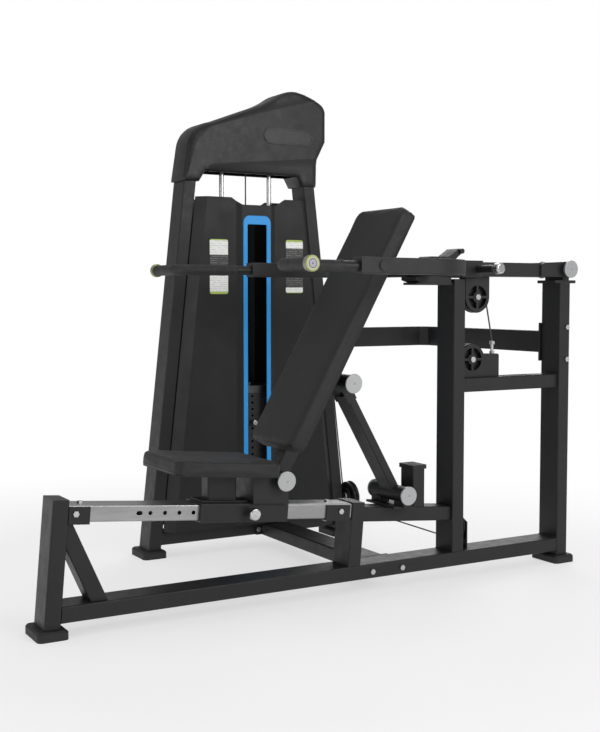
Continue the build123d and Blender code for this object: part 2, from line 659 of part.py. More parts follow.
def shroud_half(z):
    """Half width of the shroud between the leaning columns at height z."""
    return TOWER_HALF - TOWER_SLOPE * z - TUBE_THIN / cos(radians(TOWER_LEAN)) - 1.0


def shroud_outline(z, band):
    """Half of a folded cover from above, from the edge to the middle, drawn in the open line builder."""
    edge = shroud_half(z)
    outer = [(edge, 0), (edge - BEVEL, BEVEL), (BAND_HALF + BAND_BEVEL, BEVEL), (BAND_HALF, BEVEL + band)]
    inner_band = BAND_HALF - SHROUD_WALL * 0.4
    inner = [(inner_band, BEVEL + band - SHROUD_WALL), (inner_band + BAND_BEVEL, BEVEL - SHROUD_WALL),
             (edge - BEVEL - SHROUD_WALL * 0.4, BEVEL - SHROUD_WALL), (edge - SHROUD_WALL * 1.4, 0)]
    left = [(-x, y) for x, y in outer]
    right = [(x, y) for x, y in reversed(outer)]
    back = [(x, y) for x, y in reversed(inner)]
    front = [(-x, y) for x, y in inner]
    Polyline(*left, *right, *back, *front, close=True)


def above_shroud():
    """Cut-off above a cover, whose edge dips between two shoulders, drawn in the open line builder."""
    Polyline((TOWER_X - 600, SHROUD_TOP), (TOWER_X - 104, SHROUD_TOP), (TOWER_X - 62, SHROUD_DIP),
             (TOWER_X + 88, SHROUD_DIP), (TOWER_X + 130, SHROUD_TOP), (TOWER_X + 600, SHROUD_TOP),
             (TOWER_X + 600, SHROUD_TOP + 100), (TOWER_X - 600, SHROUD_TOP + 100), close=True)


SLOT_HALF = 50.0
with BuildPart() as front_shroud:
    for z in (SHROUD_LOW, SHROUD_TOP + 30):
        with BuildSketch(Plane(origin=(TOWER_X, TOWER_FRONT, z), x_dir=(1, 0, 0), z_dir=(0, 0, -1))):
            with BuildLine():
                shroud_outline(z, SHROUD_FRONT - BAND_FRONT)
            make_face()
    loft(ruled=True)
    with BuildSketch(side_plane(TOWER_FRONT)):
        with BuildLine():
            above_shroud()
        make_face()
    extrude(amount=100, both=True, mode=Mode.SUBTRACT)
    with BuildSketch(side_plane(BAND_FRONT - 5)):
        with Locations((TOWER_X, (SLOT_LOW + SLOT_TOP) / 2)):
            RectangleRounded(2 * SLOT_HALF, SLOT_TOP - SLOT_LOW - 20, 18)
    extrude(amount=-20, mode=Mode.SUBTRACT)
front_shroud.part.label = "front_shroud"

with BuildPart() as rear_shroud:
    for z in (SHROUD_LOW, SHROUD_TOP + 30):
        with BuildSketch(Plane(origin=(TOWER_X, TOWER_BACK, z), x_dir=(1, 0, 0), z_dir=(0, 0, 1))):
            with BuildLine():
                shroud_outline(z, SHROUD_FRONT - BAND_FRONT)
            make_face()
    loft(ruled=True)
    with BuildSketch(side_plane(TOWER_BACK)):
        with BuildLine():
            above_shroud()
        make_face()
    extrude(amount=100, both=True, mode=Mode.SUBTRACT)
rear_shroud.part.label = "rear_shroud"

TRIM_HALF = 59.5
TRIM_WINDOW = 42.0
TRIM_TOP_BAR = 34.0
TRIM_THICK = 5.0
with BuildPart() as slot_trim:
    with BuildSketch(side_plane(BAND_FRONT)):
        with Locations((TOWER_X, (SLOT_LOW + SLOT_TOP) / 2)):
            RectangleRounded(2 * TRIM_HALF, SLOT_TOP - SLOT_LOW, 28)
        with Locations((TOWER_X, (SLOT_LOW + SLOT_TOP - TRIM_TOP_BAR) / 2)):
            RectangleRounded(2 * TRIM_WINDOW, SLOT_TOP - SLOT_LOW - TRIM_TOP_BAR, 5, mode=Mode.SUBTRACT)
    extrude(amount=TRIM_THICK)
    chamfer(slot_trim.faces().sort_by(Axis.Y)[0].outer_wire().edges(), 1.5)
slot_trim.part.label = "slot_trim"

# The cowl over the tower's head: a shell with a swept crest on the cable side and a leg on each column.
COWL_FRONT = 748.0
COWL_BACK = 884.0
COWL_WALL = 4.0
COWL_FOOT = 1430.0
COWL_BRIDGE = 1469.0  # underside between the legs


def cowl_outline():
    """Outline of the cowl seen from the front, drawn in the open line builder."""
    left = Polyline((TOWER_X - 202, COWL_BRIDGE), (TOWER_X - 226, COWL_FOOT), (TOWER_X - 294, COWL_FOOT),
                    (TOWER_X - 272, 1568))
    shoulder = ThreePointArc(left @ 1, (TOWER_X - 243, 1624), (TOWER_X - 178, 1656))
    slope = Line(shoulder @ 1, (TOWER_X + 20, 1731))
    rise = ThreePointArc(slope @ 1, (TOWER_X + 70, 1752), (TOWER_X + 115, 1779))
    crest = ThreePointArc(rise @ 1, (TOWER_X + 152, 1796), (TOWER_X + 196, 1802))
    fall = ThreePointArc(crest @ 1, (TOWER_X + 255, 1788), (TOWER_X + 302, 1765))
    brow = ThreePointArc(fall @ 1, (TOWER_X + 324, 1747), (TOWER_X + 331, 1716))
    Polyline(brow @ 1, (TOWER_X + 331, 1611), (TOWER_X + 294, 1540), (TOWER_X + 292, COWL_FOOT),
             (TOWER_X + 226, COWL_FOOT), (TOWER_X + 204, COWL_BRIDGE), (TOWER_X - 202, COWL_BRIDGE))


# The hollow of the cowl with its openings: one for each column, for the rods and for both cables.
with BuildPart() as cowl_hollow:
    with BuildSketch(side_plane(COWL_FRONT + COWL_WALL)):
        with BuildLine():
            cowl_outline()
        make_face()
        offset(amount=-COWL_WALL, kind=Kind.INTERSECTION, mode=Mode.REPLACE)
    extrude(amount=-(COWL_BACK - COWL_FRONT - 2 * COWL_WALL))
    with BuildSketch(Plane.XY.offset(COWL_FOOT - 1)):
        for side in (-1, 1):
            with Locations((TOWER_X + side * 260, STACK_Y)):
                Rectangle(56, TUBE_WIDE + 4)
    extrude(amount=COWL_WALL + 2)
    with BuildSketch(Plane.XY.offset(COWL_BRIDGE - 1)):
        with Locations((TOWER_X - ROD_SPACING / 2, STACK_Y), (TOWER_X + ROD_SPACING / 2, STACK_Y)):
            Circle(ROD_DIAMETER / 2 + 3)
        with Locations((TOWER_X, STACK_Y)):
            SlotOverall(40.0, 24.0)
    extrude(amount=COWL_WALL + 2)
    with BuildSketch(side_plane(STACK_Y)):
        with Locations((TOWER_X + 296, 1550)):
            Rectangle(26, 60)
    extrude(amount=8, both=True)

with BuildPart() as top_cowl:
    with BuildSketch(side_plane(COWL_FRONT)):
        with BuildLine():
            cowl_outline()
        make_face()
    extrude(amount=-(COWL_BACK - COWL_FRONT))
    add(cowl_hollow.part, mode=Mode.SUBTRACT)
top_cowl.part.label = "top_cowl"

with BuildPart() as cowl_badge:
    with BuildSketch(side_plane(COWL_FRONT)):
        with Locations((TOWER_X + 157, 1620)):
            SlotOverall(220.0, 62.0)
    extrude(amount=1.5)
    with BuildSketch(side_plane(COWL_FRONT - 1.5)):
        with Locations((TOWER_X + 157, 1620)):
            SlotOverall(220.0, 62.0)
            SlotOverall(210.0, 52.0, mode=Mode.SUBTRACT)
    extrude(amount=1.5)
cowl_badge.part.label = "cowl_badge"

with BuildPart() as instruction_plates:
    with BuildSketch(side_plane(SHROUD_FRONT)):
        with Locations((TOWER_X - 159, 1106), (TOWER_X + 173, 1110)):
            RectangleRounded(77.0, 209.0, 8)
    extrude(amount=1.2)
instruction_plates.part.label = "instruction_plates"

# ---------------------------------------------------------------- pulleys

RIM = PULLEY_DIAMETER / 2
PULLEY_HALF = PULLEY_THICK / 2
with BuildPart() as pulley:
    with BuildSketch(Plane.YZ):
        with BuildLine():
            Polyline((-PULLEY_HALF, AXLE / 2), (-PULLEY_HALF, RIM), (-PULLEY_HALF + 4, RIM),
                     (-GROOVE, CABLE_LINE))
            ThreePointArc((-GROOVE, CABLE_LINE), (0, CABLE_LINE - GROOVE), (GROOVE, CABLE_LINE))
            Polyline((GROOVE, CABLE_LINE), (PULLEY_HALF - 4, RIM), (PULLEY_HALF, RIM),
                     (PULLEY_HALF, AXLE / 2), (-PULLEY_HALF, AXLE / 2))
        make_face()
    revolve(axis=Axis.Y)
    # Four deep pockets on each face leave a web, a rim and four spokes.
    for face in (-1, 1):
        with BuildSketch(Plane(origin=(0, face * PULLEY_HALF, 0), x_dir=(1, 0, 0), z_dir=(0, face, 0))):
            Circle(RIM - 12)
            Circle(15.0, mode=Mode.SUBTRACT)
            Rectangle(2 * RIM, 8.0, mode=Mode.SUBTRACT)
            Rectangle(8.0, 2 * RIM, mode=Mode.SUBTRACT)
        extrude(amount=-9.0, mode=Mode.SUBTRACT)


def axle(width):
    """Pulley bolt along Y with a domed head on each end, centred on the origin."""
    with BuildPart() as one:
        with BuildSketch(Plane.XZ):
            Circle(AXLE / 2 - RUNNING)
        extrude(amount=width / 2, both=True)
        for side in (-1, 1):
            with BuildSketch(Plane(origin=(0, side * width / 2, 0), x_dir=(1, 0, 0), z_dir=(0, side, 0))):
                Circle(11.0)
            extrude(amount=7.0)
            fillet(one.faces().sort_by(Axis((0, 0, 0), (0, side, 0)))[-1].edges(), 3.0)
    return one.part


SIDE_PULLEY_Z = 168.0
SIDE_PULLEY_OFF = 34.0  # pulley plane from the tower column's outer face, along X
UP_RUN_TOP_X = 1392.0
TOP_PULLEY_Z = 1640.0
SIDE_PULLEY = Vector(tower_face(SIDE_PULLEY_Z, 1, -SIDE_PULLEY_OFF), STACK_Y - CABLE_LINE, SIDE_PULLEY_Z)
FOOT_PULLEY = Vector(MIDDLE_POST_X + TUBE_THIN + 29.0, CABLE_LINE, 166.0)
TOP_PULLEY_RIGHT = Vector(UP_RUN_TOP_X - CABLE_LINE, STACK_Y, TOP_PULLEY_Z)
TOP_PULLEY_CENTER = Vector(TOWER_X + CABLE_LINE, STACK_Y, TOP_PULLEY_Z)
up_run_tilt = degrees(atan2(SIDE_PULLEY.X - UP_RUN_TOP_X, TOP_PULLEY_Z - SIDE_PULLEY_Z))
facing_rear = Rot(0, 0, 90)  # turns a pulley's axis from Y to X
facing_column = Rot(0, -up_run_tilt, 0) * facing_rear
side_pulley_plane = Plane(
    origin=SIDE_PULLEY,
    x_dir=(0, 1, 0),
    z_dir=(cos(radians(up_run_tilt)), 0, sin(radians(up_run_tilt))),
)
PULLEY_PLACES = {
    "idler_pulley": Location(IDLER),
    "foot_pulley": Location(FOOT_PULLEY) * facing_rear,
    "side_pulley": Location(SIDE_PULLEY) * facing_column,
    "top_pulley_right": Location(TOP_PULLEY_RIGHT),
    "top_pulley_center": Location(TOP_PULLEY_CENTER),
}

with BuildPart() as idler_pulley:
    with Locations(PULLEY_PLACES["idler_pulley"]):
        add(pulley.part)
idler_pulley.part.label = "idler_pulley"

with BuildPart() as foot_pulley:
    with Locations(PULLEY_PLACES["foot_pulley"]):
        add(pulley.part)
foot_pulley.part.label = "foot_pulley"

with BuildPart() as side_pulley:
    with Locations(PULLEY_PLACES["side_pulley"]):
        add(pulley.part)
side_pulley.part.label = "side_pulley"

with BuildPart() as top_pulley_right:
    with Locations(PULLEY_PLACES["top_pulley_right"]):
        add(pulley.part)
top_pulley_right.part.label = "top_pulley_right"

with BuildPart() as top_pulley_center:
    with Locations(PULLEY_PLACES["top_pulley_center"]):
        add(pulley.part)
top_pulley_center.part.label = "top_pulley_center"

with BuildPart() as arm_pulley:
    with Locations(Location(ARM_PULLEY)):
        add(pulley.part)
arm_pulley.part.label = "arm_pulley"

# Brackets of the fixed pulleys: each has two cheek plates beside its pulley.
CHEEK = 5.0
CHEEK_HALF = 53.0  # half width of a round-ended cheek
CHEEK_GAP = PULLEY_THICK / 2 + 2.0
BRACKET_WIDTH = 2 * (CHEEK_GAP + CHEEK)
CROSS_BAR_TOP = CROSS_BAR_Z + TUBE_THIN
BEAM_SEAT = TOWER_COLUMN_TOP + TUBE_THIN
ANCHOR_X = 1683.0
ANCHOR_SEAT = 787.0
ANCHOR_END = 1700.0

# Cut-outs of a cheek plate: its bolt hole and four windows that leave a ring and four spokes.
with BuildSketch() as cheek_windows:
    Circle(41.0)
    Circle(19.0, mode=Mode.SUBTRACT)
    Rectangle(90.0, 9.0, mode=Mode.SUBTRACT)
    Rectangle(9.0, 90.0, mode=Mode.SUBTRACT)
    Circle(AXLE / 2 - RUNNING)

# Outer skin of the tower column, used to trim what is welded to it.
with BuildPart() as column_cutter:
    with BuildSketch(Plane(origin=(tower_face(0, 1, TUBE_THIN), STACK_Y, 0), x_dir=(0, 1, 0),
                           z_dir=(-sin(radians(TOWER_LEAN)), 0, cos(radians(TOWER_LEAN))))):
        Rectangle(TUBE_WIDE + 20, 2 * TUBE_THIN * cos(radians(TOWER_LEAN)))
    extrude(amount=400)

with BuildPart() as pulley_brackets:
    # Idler cheeks stand on the cross bar and reach back to the cable anchor.
    for side in (-1, 1):
        with BuildSketch(side_plane(side * (CHEEK_GAP + CHEEK / 2))):
            with BuildLine():
                FilletPolyline((IDLER.X, ANCHOR_SEAT), (ANCHOR_END, ANCHOR_SEAT),
                               (ANCHOR_END, CROSS_BAR_TOP), radius=8)
                Polyline((ANCHOR_END, CROSS_BAR_TOP), (IDLER.X - CHEEK_HALF, CROSS_BAR_TOP),
                         (IDLER.X - CHEEK_HALF, IDLER.Z), (IDLER.X, IDLER.Z), (IDLER.X, ANCHOR_SEAT))
            make_face()
            with Locations(xz(IDLER)):
                Circle(CHEEK_HALF)
                add(cheek_windows.sketch, mode=Mode.SUBTRACT)
        extrude(amount=CHEEK / 2, both=True)
    with BuildSketch(Plane.XY.offset(ANCHOR_SEAT - 8)):
        with Locations((ANCHOR_X, 0)):
            Rectangle(30, 2 * CHEEK_GAP)
            Circle(6.0, mode=Mode.SUBTRACT)
    extrude(amount=8.0)
    # Foot pulley cheeks stand on the base tube behind the middle post.
    for cheek_x in (FOOT_PULLEY.X - CHEEK_GAP - CHEEK, FOOT_PULLEY.X + CHEEK_GAP):
        with BuildSketch(Plane(origin=(cheek_x, 0, 0), x_dir=(0, 1, 0), z_dir=(1, 0, 0))):
            with BuildLine():
                Polyline((-10, BASE_TOP), (-10, 185), (30, 205), (78, 205), (86, 150), (42, BASE_TOP),
                         close=True)
            make_face()
            with Locations((FOOT_PULLEY.Y, FOOT_PULLEY.Z)):
                Circle(AXLE / 2 - RUNNING, mode=Mode.SUBTRACT)
        extrude(amount=CHEEK)
    # Side pulley cheeks stand out from a block welded to the tower column.
    with BuildSketch(side_pulley_plane.offset(-60.0)):
        with Locations((81.0, 0)):
            Rectangle(28.0, 60.0)
    extrude(amount=60.0 + CHEEK_GAP + CHEEK)
    for offset_out in (-CHEEK_GAP - CHEEK, CHEEK_GAP):
        with BuildSketch(side_pulley_plane.offset(offset_out)):
            with Locations((33.5, 0)):
                RectangleRounded(123.0, 60.0, 12)
            Circle(AXLE / 2 - RUNNING, mode=Mode.SUBTRACT)
        extrude(amount=CHEEK)
    add(column_cutter.part, mode=Mode.SUBTRACT)
    # Top pulley cheeks stand on the tower's top beam.
    for center in (TOP_PULLEY_RIGHT, TOP_PULLEY_CENTER):
        for side in (-1, 1):
            with BuildSketch(side_plane(STACK_Y + side * (CHEEK_GAP + CHEEK / 2))):
                with Locations((center.X - 4, (BEAM_SEAT + center.Z) / 2 + 10)):
                    Rectangle(44.0, center.Z - BEAM_SEAT + 20)
                with Locations(xz(center)):
                    Circle(AXLE / 2 - RUNNING, mode=Mode.SUBTRACT)
            extrude(amount=CHEEK / 2, both=True)
pulley_brackets.part.label = "pulley_brackets"

# ---------------------------------------------------------------- cables


def straight_cable(start, end):
    """Straight length of cable, a hair short of both its ends."""
    with BuildPart() as run:
        with BuildSketch(Plane(origin=start, z_dir=end - start).offset(CABLE_GAP)):
            Circle(CABLE_DIAMETER / 2)
        extrude(amount=(end - start).length - 2 * CABLE_GAP)
    return run.part


cable_fixed_runs = (
    (IDLER - Vector(CABLE_LINE, 0, 0), FOOT_PULLEY - Vector(0, CABLE_LINE, 0)),
    (FOOT_PULLEY - Vector(0, 0, CABLE_LINE), SIDE_PULLEY - side_pulley_plane.y_dir * CABLE_LINE),
    (SIDE_PULLEY + Vector(0, CABLE_LINE, 0), TOP_PULLEY_RIGHT + Vector(CABLE_LINE, 0, 0)),
    (TOP_PULLEY_RIGHT + Vector(0, 0, CABLE_LINE), TOP_PULLEY_CENTER + Vector(0, 0, CABLE_LINE)),
)
cable_turns = (
    (Plane(origin=FOOT_PULLEY, x_dir=(0, 1, 0), z_dir=(1, 0, 0)), 180),
    (side_pulley_plane, 270),
    (Plane(origin=TOP_PULLEY_RIGHT, x_dir=(1, 0, 0), z_dir=(0, -1, 0)), 0),
    (Plane(origin=TOP_PULLEY_CENTER, x_dir=(1, 0, 0), z_dir=(0, -1, 0)), 90),
)

# The part of the cable that only runs lengthways: idler, foot, side and top pulleys.
with BuildPart() as cable_fixed_run:
    for start, end in cable_fixed_runs:
        add(straight_cable(start, end))
    for turn_plane, start_angle in cable_turns:
        with BuildLine(turn_plane) as turn:
            CenterArc((0, 0), CABLE_LINE, start_angle, 90)
        with BuildSketch(Plane(origin=turn.line @ 0, z_dir=turn.line % 0)):
            Circle(CABLE_DIAMETER / 2)
        sweep(path=turn.line)
cable_fixed_run.part.label = "cable_fixed_run"

ANCHOR_TOP = 832.0
with BuildPart() as cable_anchor_run:
    add(straight_cable(Vector(ANCHOR_X, 0, ANCHOR_TOP), ARM_PULLEY + Vector(CABLE_LINE, 0, 0)))
cable_anchor_run.part.label = "cable_anchor_run"

with BuildPart() as cable_drop_run:
    add(straight_cable(IDLER - Vector(CABLE_LINE, 0, 0), ARM_PULLEY - Vector(CABLE_LINE, 0, 0)))
cable_drop_run.part.label = "cable_drop_run"

with BuildPart() as cable_arm_loop:
    with BuildLine(Plane(origin=ARM_PULLEY, x_dir=(1, 0, 0), z_dir=(0, -1, 0))) as loop_path:
        CenterArc((0, 0), CABLE_LINE, 0, 180)
    with BuildSketch(Plane(origin=loop_path.line @ 0, z_dir=loop_path.line % 0)):
        Circle(CABLE_DIAMETER / 2)
    sweep(path=loop_path.line)
cable_arm_loop.part.label = "cable_arm_loop"

with BuildPart() as stack_cable:
    add(straight_cable(Vector(TOWER_X, STACK_Y, STEM_TOP), TOP_PULLEY_CENTER - Vector(CABLE_LINE, 0, 0)))
stack_cable.part.label = "stack_cable"

# Threaded anchor with its nuts on the idler bracket's tongue; it goes in with the frame's bolts.
with BuildPart() as cable_anchor:
    with BuildSketch(Plane.XY.offset(ANCHOR_SEAT - 24)):
        with Locations((ANCHOR_X, 0)):
            Circle(6.0)
    extrude(amount=ANCHOR_TOP - ANCHOR_SEAT + 24)
    for z in (ANCHOR_SEAT - 18, ANCHOR_SEAT, ANCHOR_TOP - 12):
        with BuildSketch(Plane.XY.offset(z)):
            with Locations((ANCHOR_X, 0)):
                RegularPolygon(10.0, 6)
        extrude(amount=10.0)

# ---------------------------------------------------------------- carriage and seat

SLEEVE_OVER = 5.0
SLEEVE_UNDER = 6.0
SLEEVE_GAP = 1.0
SEAT_PLATE_DROP = -98.0
SEAT_PAD_THICK = 50.0
SEAT_X = (378.0, 740.0)
SEAT_HALF = 147.0
SEAT_POST_X = 588.0
EAR_HALF = 70.0
EAR_THICK = 8.0
KNOB_X = FIRST_HOLE + 7 * HOLE_PITCH
sleeve_length = (SLEEVE_REAR - SLEEVE_FRONT) / cos(radians(LEAN))
knob_plane = rail_flank(SLEEVE_HALF)
knob_place = (KNOB_X / cos(radians(LEAN)), -TUBE_THIN / 2)

with BuildPart() as carriage_sleeve:
    with BuildSketch(rail_section(SLEEVE_FRONT, TUBE_THIN / 2)):
        with Locations((0, (SLEEVE_OVER - SLEEVE_UNDER) / 2)):
            RectangleRounded(2 * SLEEVE_HALF, TUBE_THIN + SLEEVE_OVER + SLEEVE_UNDER, 4)
        Rectangle(RAIL_WIDE + 2 * SLEEVE_GAP, TUBE_THIN + 2 * SLEEVE_GAP, mode=Mode.SUBTRACT)
    extrude(amount=sleeve_length)
    with BuildSketch(knob_plane):
        with Locations(knob_place):
            Circle(11.0)
    extrude(amount=5.0)
    with BuildSketch(knob_plane.offset(10)):
        with Locations(knob_place):
            Circle(PIN_DIAMETER / 2 + RUNNING)
    extrude(amount=-30.0, mode=Mode.SUBTRACT)
carriage_sleeve.part.label = "carriage_sleeve"

# The pull pin stands just clear of the rail; pushed in, it enters the nearest hole.
with BuildPart() as carriage_pin:
    with BuildSketch(knob_plane.offset(24.0)):
        with Locations(knob_place):
            Circle(PIN_DIAMETER / 2)
    extrude(amount=-(24.0 + SLEEVE_HALF - RAIL_WIDE / 2 - 0.5))
    with BuildSketch(knob_plane.offset(18.0)):
        with Locations(knob_place):
            Circle(13.0)
    extrude(amount=8.0)
    with BuildSketch(knob_plane.offset(26.0)):
        with Locations(knob_place):
            Circle(19.0)
    extrude(amount=14.0)
    fillet(carriage_pin.faces().sort_by(Axis.Y)[0].edges(), 5.0)
carriage_pin.part.label = "carriage_pin"

sleeve_top = rail_level(-SLEEVE_OVER)
seat_plane = rail_level(SEAT_PLATE_DROP)
with BuildPart() as seat_frame:
    with BuildSketch(Plane.XY.offset(300)):
        with Locations((SEAT_POST_X, 0)):
            tube_section(TUBE_WIDE, TUBE_THIN)
    extrude(amount=200)
    split(bisect_by=sleeve_top, keep=Keep.TOP)
    split(bisect_by=seat_plane, keep=Keep.BOTTOM)
    with BuildSketch(sleeve_top):
        with Locations((590.0, 0)):
            Rectangle(160.0, 84.0)
    extrude(amount=6.0)
    with BuildSketch(seat_plane):
        with Locations((562.0, 0)):
            Rectangle(270.0, 200.0)
    extrude(amount=-6.0)
    # Box bracket with a curved rear edge, carrying the back pad's pivot housings.
    for side in (-1, 1):
        with BuildSketch(side_plane(side * (EAR_HALF - EAR_THICK / 2))):
            with BuildLine():
                Line((674.0, 431.0), (674.0, 330.0))
                Line((674.0, 330.0), (800.0, 320.0))
                Line((800.0, 320.0), (800.0, 395.0))
                Line((800.0, 395.0), (776.2, 440.0))
                Line((776.2, 440.0), (735.0, 424.0))
                Line((735.0, 424.0), (674.0, 431.0))
            make_face()
        extrude(amount=EAR_THICK / 2, both=True)
        with BuildSketch(side_plane(side * (PIVOT_HALF + EAR_HALF - EAR_THICK) / 2)):
            with Locations(xz(CARRIAGE_PIVOT)):
                Circle(HOUSING / 2)
        extrude(amount=(PIVOT_HALF - EAR_HALF + EAR_THICK) / 2, both=True)
    with BuildSketch(Plane.XY.offset(325)):
        with Locations((677.0, 0)):
            Rectangle(6.0, 2 * (EAR_HALF - EAR_THICK))
    extrude(amount=106.0)
    split(bisect_by=sleeve_top, keep=Keep.TOP)
    with BuildSketch(side_plane(0)):
        with Locations(xz(CARRIAGE_PIVOT)):
            Circle(SHAFT / 2)
    extrude(amount=200, both=True, mode=Mode.SUBTRACT)
seat_frame.part.label = "seat_frame"

with BuildPart() as seat_pad:
    with BuildSketch(seat_plane):
        with Locations(((SEAT_X[0] + SEAT_X[1]) / 2 / cos(radians(LEAN)) - 9, 0)):
            RectangleRounded(SEAT_X[1] - SEAT_X[0], 2 * SEAT_HALF, 40)
    extrude(amount=SEAT_PAD_THICK)
    fillet(seat_pad.faces().sort_by(Axis.Z)[-1].edges(), 14.0)
seat_pad.part.label = "seat_pad"

with BuildPart() as carriage_pivot_shaft:
    add(capped_shaft(CARRIAGE_PIVOT, PIVOT_HALF))
carriage_pivot_shaft.part.label = "carriage_pivot_shaft"

# ---------------------------------------------------------------- back pad

UP_PAD = Vector(cos(radians(PAD_ANGLE)), 0, sin(radians(PAD_ANGLE)))
BEHIND_PAD = Vector(sin(radians(PAD_ANGLE)), 0, -cos(radians(PAD_ANGLE)))
PAD_TUBE = 50.0


def pad_point(up, behind):
    """Point on the centre plane: up along the pad from its lower end, behind its front face."""
    return PAD_FRONT_LOW + UP_PAD * up + BEHIND_PAD * behind


def pad_face(behind):
    """Plane parallel to the pad's face: x runs up the pad, y across it, facing backwards."""
    return Plane(origin=pad_point(0, behind), x_dir=UP_PAD, z_dir=BEHIND_PAD)


with BuildPart() as back_pad:
    with BuildSketch(pad_face(0)):
        with Locations((PAD_LENGTH / 2, 0)):
            RectangleRounded(PAD_LENGTH, 2 * PAD_HALF_WIDTH, 28)
    extrude(amount=PAD_THICK)
    fillet(back_pad.faces().sort_by(Axis(pad_point(0, 0), BEHIND_PAD))[0].edges(), 14.0)
back_pad.part.label = "back_pad"

pivot_up = (CARRIAGE_PIVOT - PAD_FRONT_LOW).dot(UP_PAD)
BARREL_LOW_HALF = EAR_HALF - EAR_THICK - 2.0
BARREL_TOP_HALF = 29.0
with BuildPart() as backrest_frame:
    with BuildSketch(Plane(origin=pad_point(pivot_up, PAD_THICK + PAD_TUBE / 2), x_dir=BEHIND_PAD,
                           z_dir=UP_PAD)):
        tube_section(PAD_TUBE, PAD_TUBE)
    extrude(amount=PAD_LENGTH - 60 - pivot_up)
    for up in (150.0, 640.0):
        with BuildSketch(pad_face(PAD_THICK)):
            with Locations((up, -65.0), (up, 65.0)):
                Rectangle(60.0, 80.0)
        extrude(amount=5.0)
    with BuildSketch(side_plane(0)):
        with Locations(xz(CARRIAGE_PIVOT)):
            Circle(HOUSING / 2)
    extrude(amount=BARREL_LOW_HALF, both=True)
    with BuildSketch(side_plane(0)):
        with Locations(xz(PAD_PIVOT)):
            Circle(HOUSING / 2)
        saddle = pad_point((PAD_PIVOT - PAD_FRONT_LOW).dot(UP_PAD), PAD_THICK + PAD_TUBE + 8)
        with Locations(Location((saddle.X, saddle.Z), PAD_ANGLE)):
            Rectangle(60.0, 20.0)
    extrude(amount=BARREL_TOP_HALF - 4.5, both=True)
    with BuildSketch(side_plane(0)):
        with Locations(xz(PAD_PIVOT)):
            Circle(HOUSING / 2)
    extrude(amount=BARREL_TOP_HALF, both=True)
    with BuildSketch(side_plane(0)):
        with Locations(xz(CARRIAGE_PIVOT)):
            Circle(SHAFT / 2 + RUNNING)
        with Locations(xz(PAD_PIVOT)):
            Circle(SHAFT / 2)
    extrude(amount=200, both=True, mode=Mode.SUBTRACT)
backrest_frame.part.label = "backrest_frame"

# ---------------------------------------------------------------- link arm

LINK_THICK = 30.0
LINK_CHEEK = 8.0
TUBE_STOP = 52.0  # the link tube ends this far short of the top pivot
link_vector = PAD_PIVOT - LINK_PIVOT
link_direction = link_vector.normalized()
link_angle = degrees(atan2(link_vector.Z, link_vector.X))
with BuildPart() as link_arm:
    with BuildSketch(Plane(origin=LINK_PIVOT, x_dir=(0, 1, 0), z_dir=link_direction)):
        tube_section(2 * LINK_HALF, LINK_THICK)
    extrude(amount=link_vector.length - TUBE_STOP)
    with BuildSketch(side_plane(0)):
        with Locations(xz(LINK_PIVOT)):
            Circle(HOUSING / 2)
    extrude(amount=LINK_HALF, both=True)
    with BuildSketch(side_plane(0)):
        with Locations(xz(LINK_PIVOT)):
            Circle(SHAFT / 2 + RUNNING)
    extrude(amount=LINK_HALF + 5, both=True, mode=Mode.SUBTRACT)
    # Fork cheeks carry the top housings; the pad's own barrel turns between them.
    for side in (-1, 1):
        with BuildSketch(side_plane(side * (LINK_HALF - LINK_CHEEK / 2))):
            with Locations(xz(PAD_PIVOT)):
                Circle(HOUSING / 2)
            middle = PAD_PIVOT - link_direction * (TUBE_STOP / 2 + 10)
            with Locations(Location((middle.X, middle.Z), link_angle)):
                Rectangle(TUBE_STOP + 20, LINK_THICK + 6)
        extrude(amount=LINK_CHEEK / 2, both=True)
        with BuildSketch(side_plane(side * (PIVOT_HALF + LINK_HALF) / 2)):
            with Locations(xz(PAD_PIVOT)):
                Circle(HOUSING / 2)
        extrude(amount=(PIVOT_HALF - LINK_HALF) / 2, both=True)
    with BuildSketch(side_plane(0)):
        with Locations(xz(PAD_PIVOT)):
            Circle(SHAFT / 2)
    extrude(amount=200, both=True, mode=Mode.SUBTRACT)
link_arm.part.label = "link_arm"

# Two stub shafts close the fork's housings.
with BuildPart() as link_top_shafts:
    add(capped_shaft(PAD_PIVOT, PIVOT_HALF))
    with BuildSketch(side_plane(0)):
        with Locations(xz(PAD_PIVOT)):
            Circle(CAP_DIAMETER)
    extrude(amount=LINK_HALF - LINK_CHEEK, both=True, mode=Mode.SUBTRACT)
link_top_shafts.part.label = "link_top_shafts"

# ---------------------------------------------------------------- press arm

LEVER_FRONT = 1458.0
LEVER_REAR = ARM_PIVOT.X - 38.0
LEVER_MIDDLE = ARM_LOW + TUBE_THIN / 2
SLEEVE_BLOCK = (1500.0, 1592.0)
BLOCK_HALF = 58.0
SLEEVE_SIDE = 5.0
CHEEK_PLATE = 8.0
ARM_PIN_X = 1571.0
LEVER_SECTION_X = Plane(origin=(LEVER_FRONT, 0, LEVER_MIDDLE), x_dir=(0, 1, 0), z_dir=(1, 0, 0))

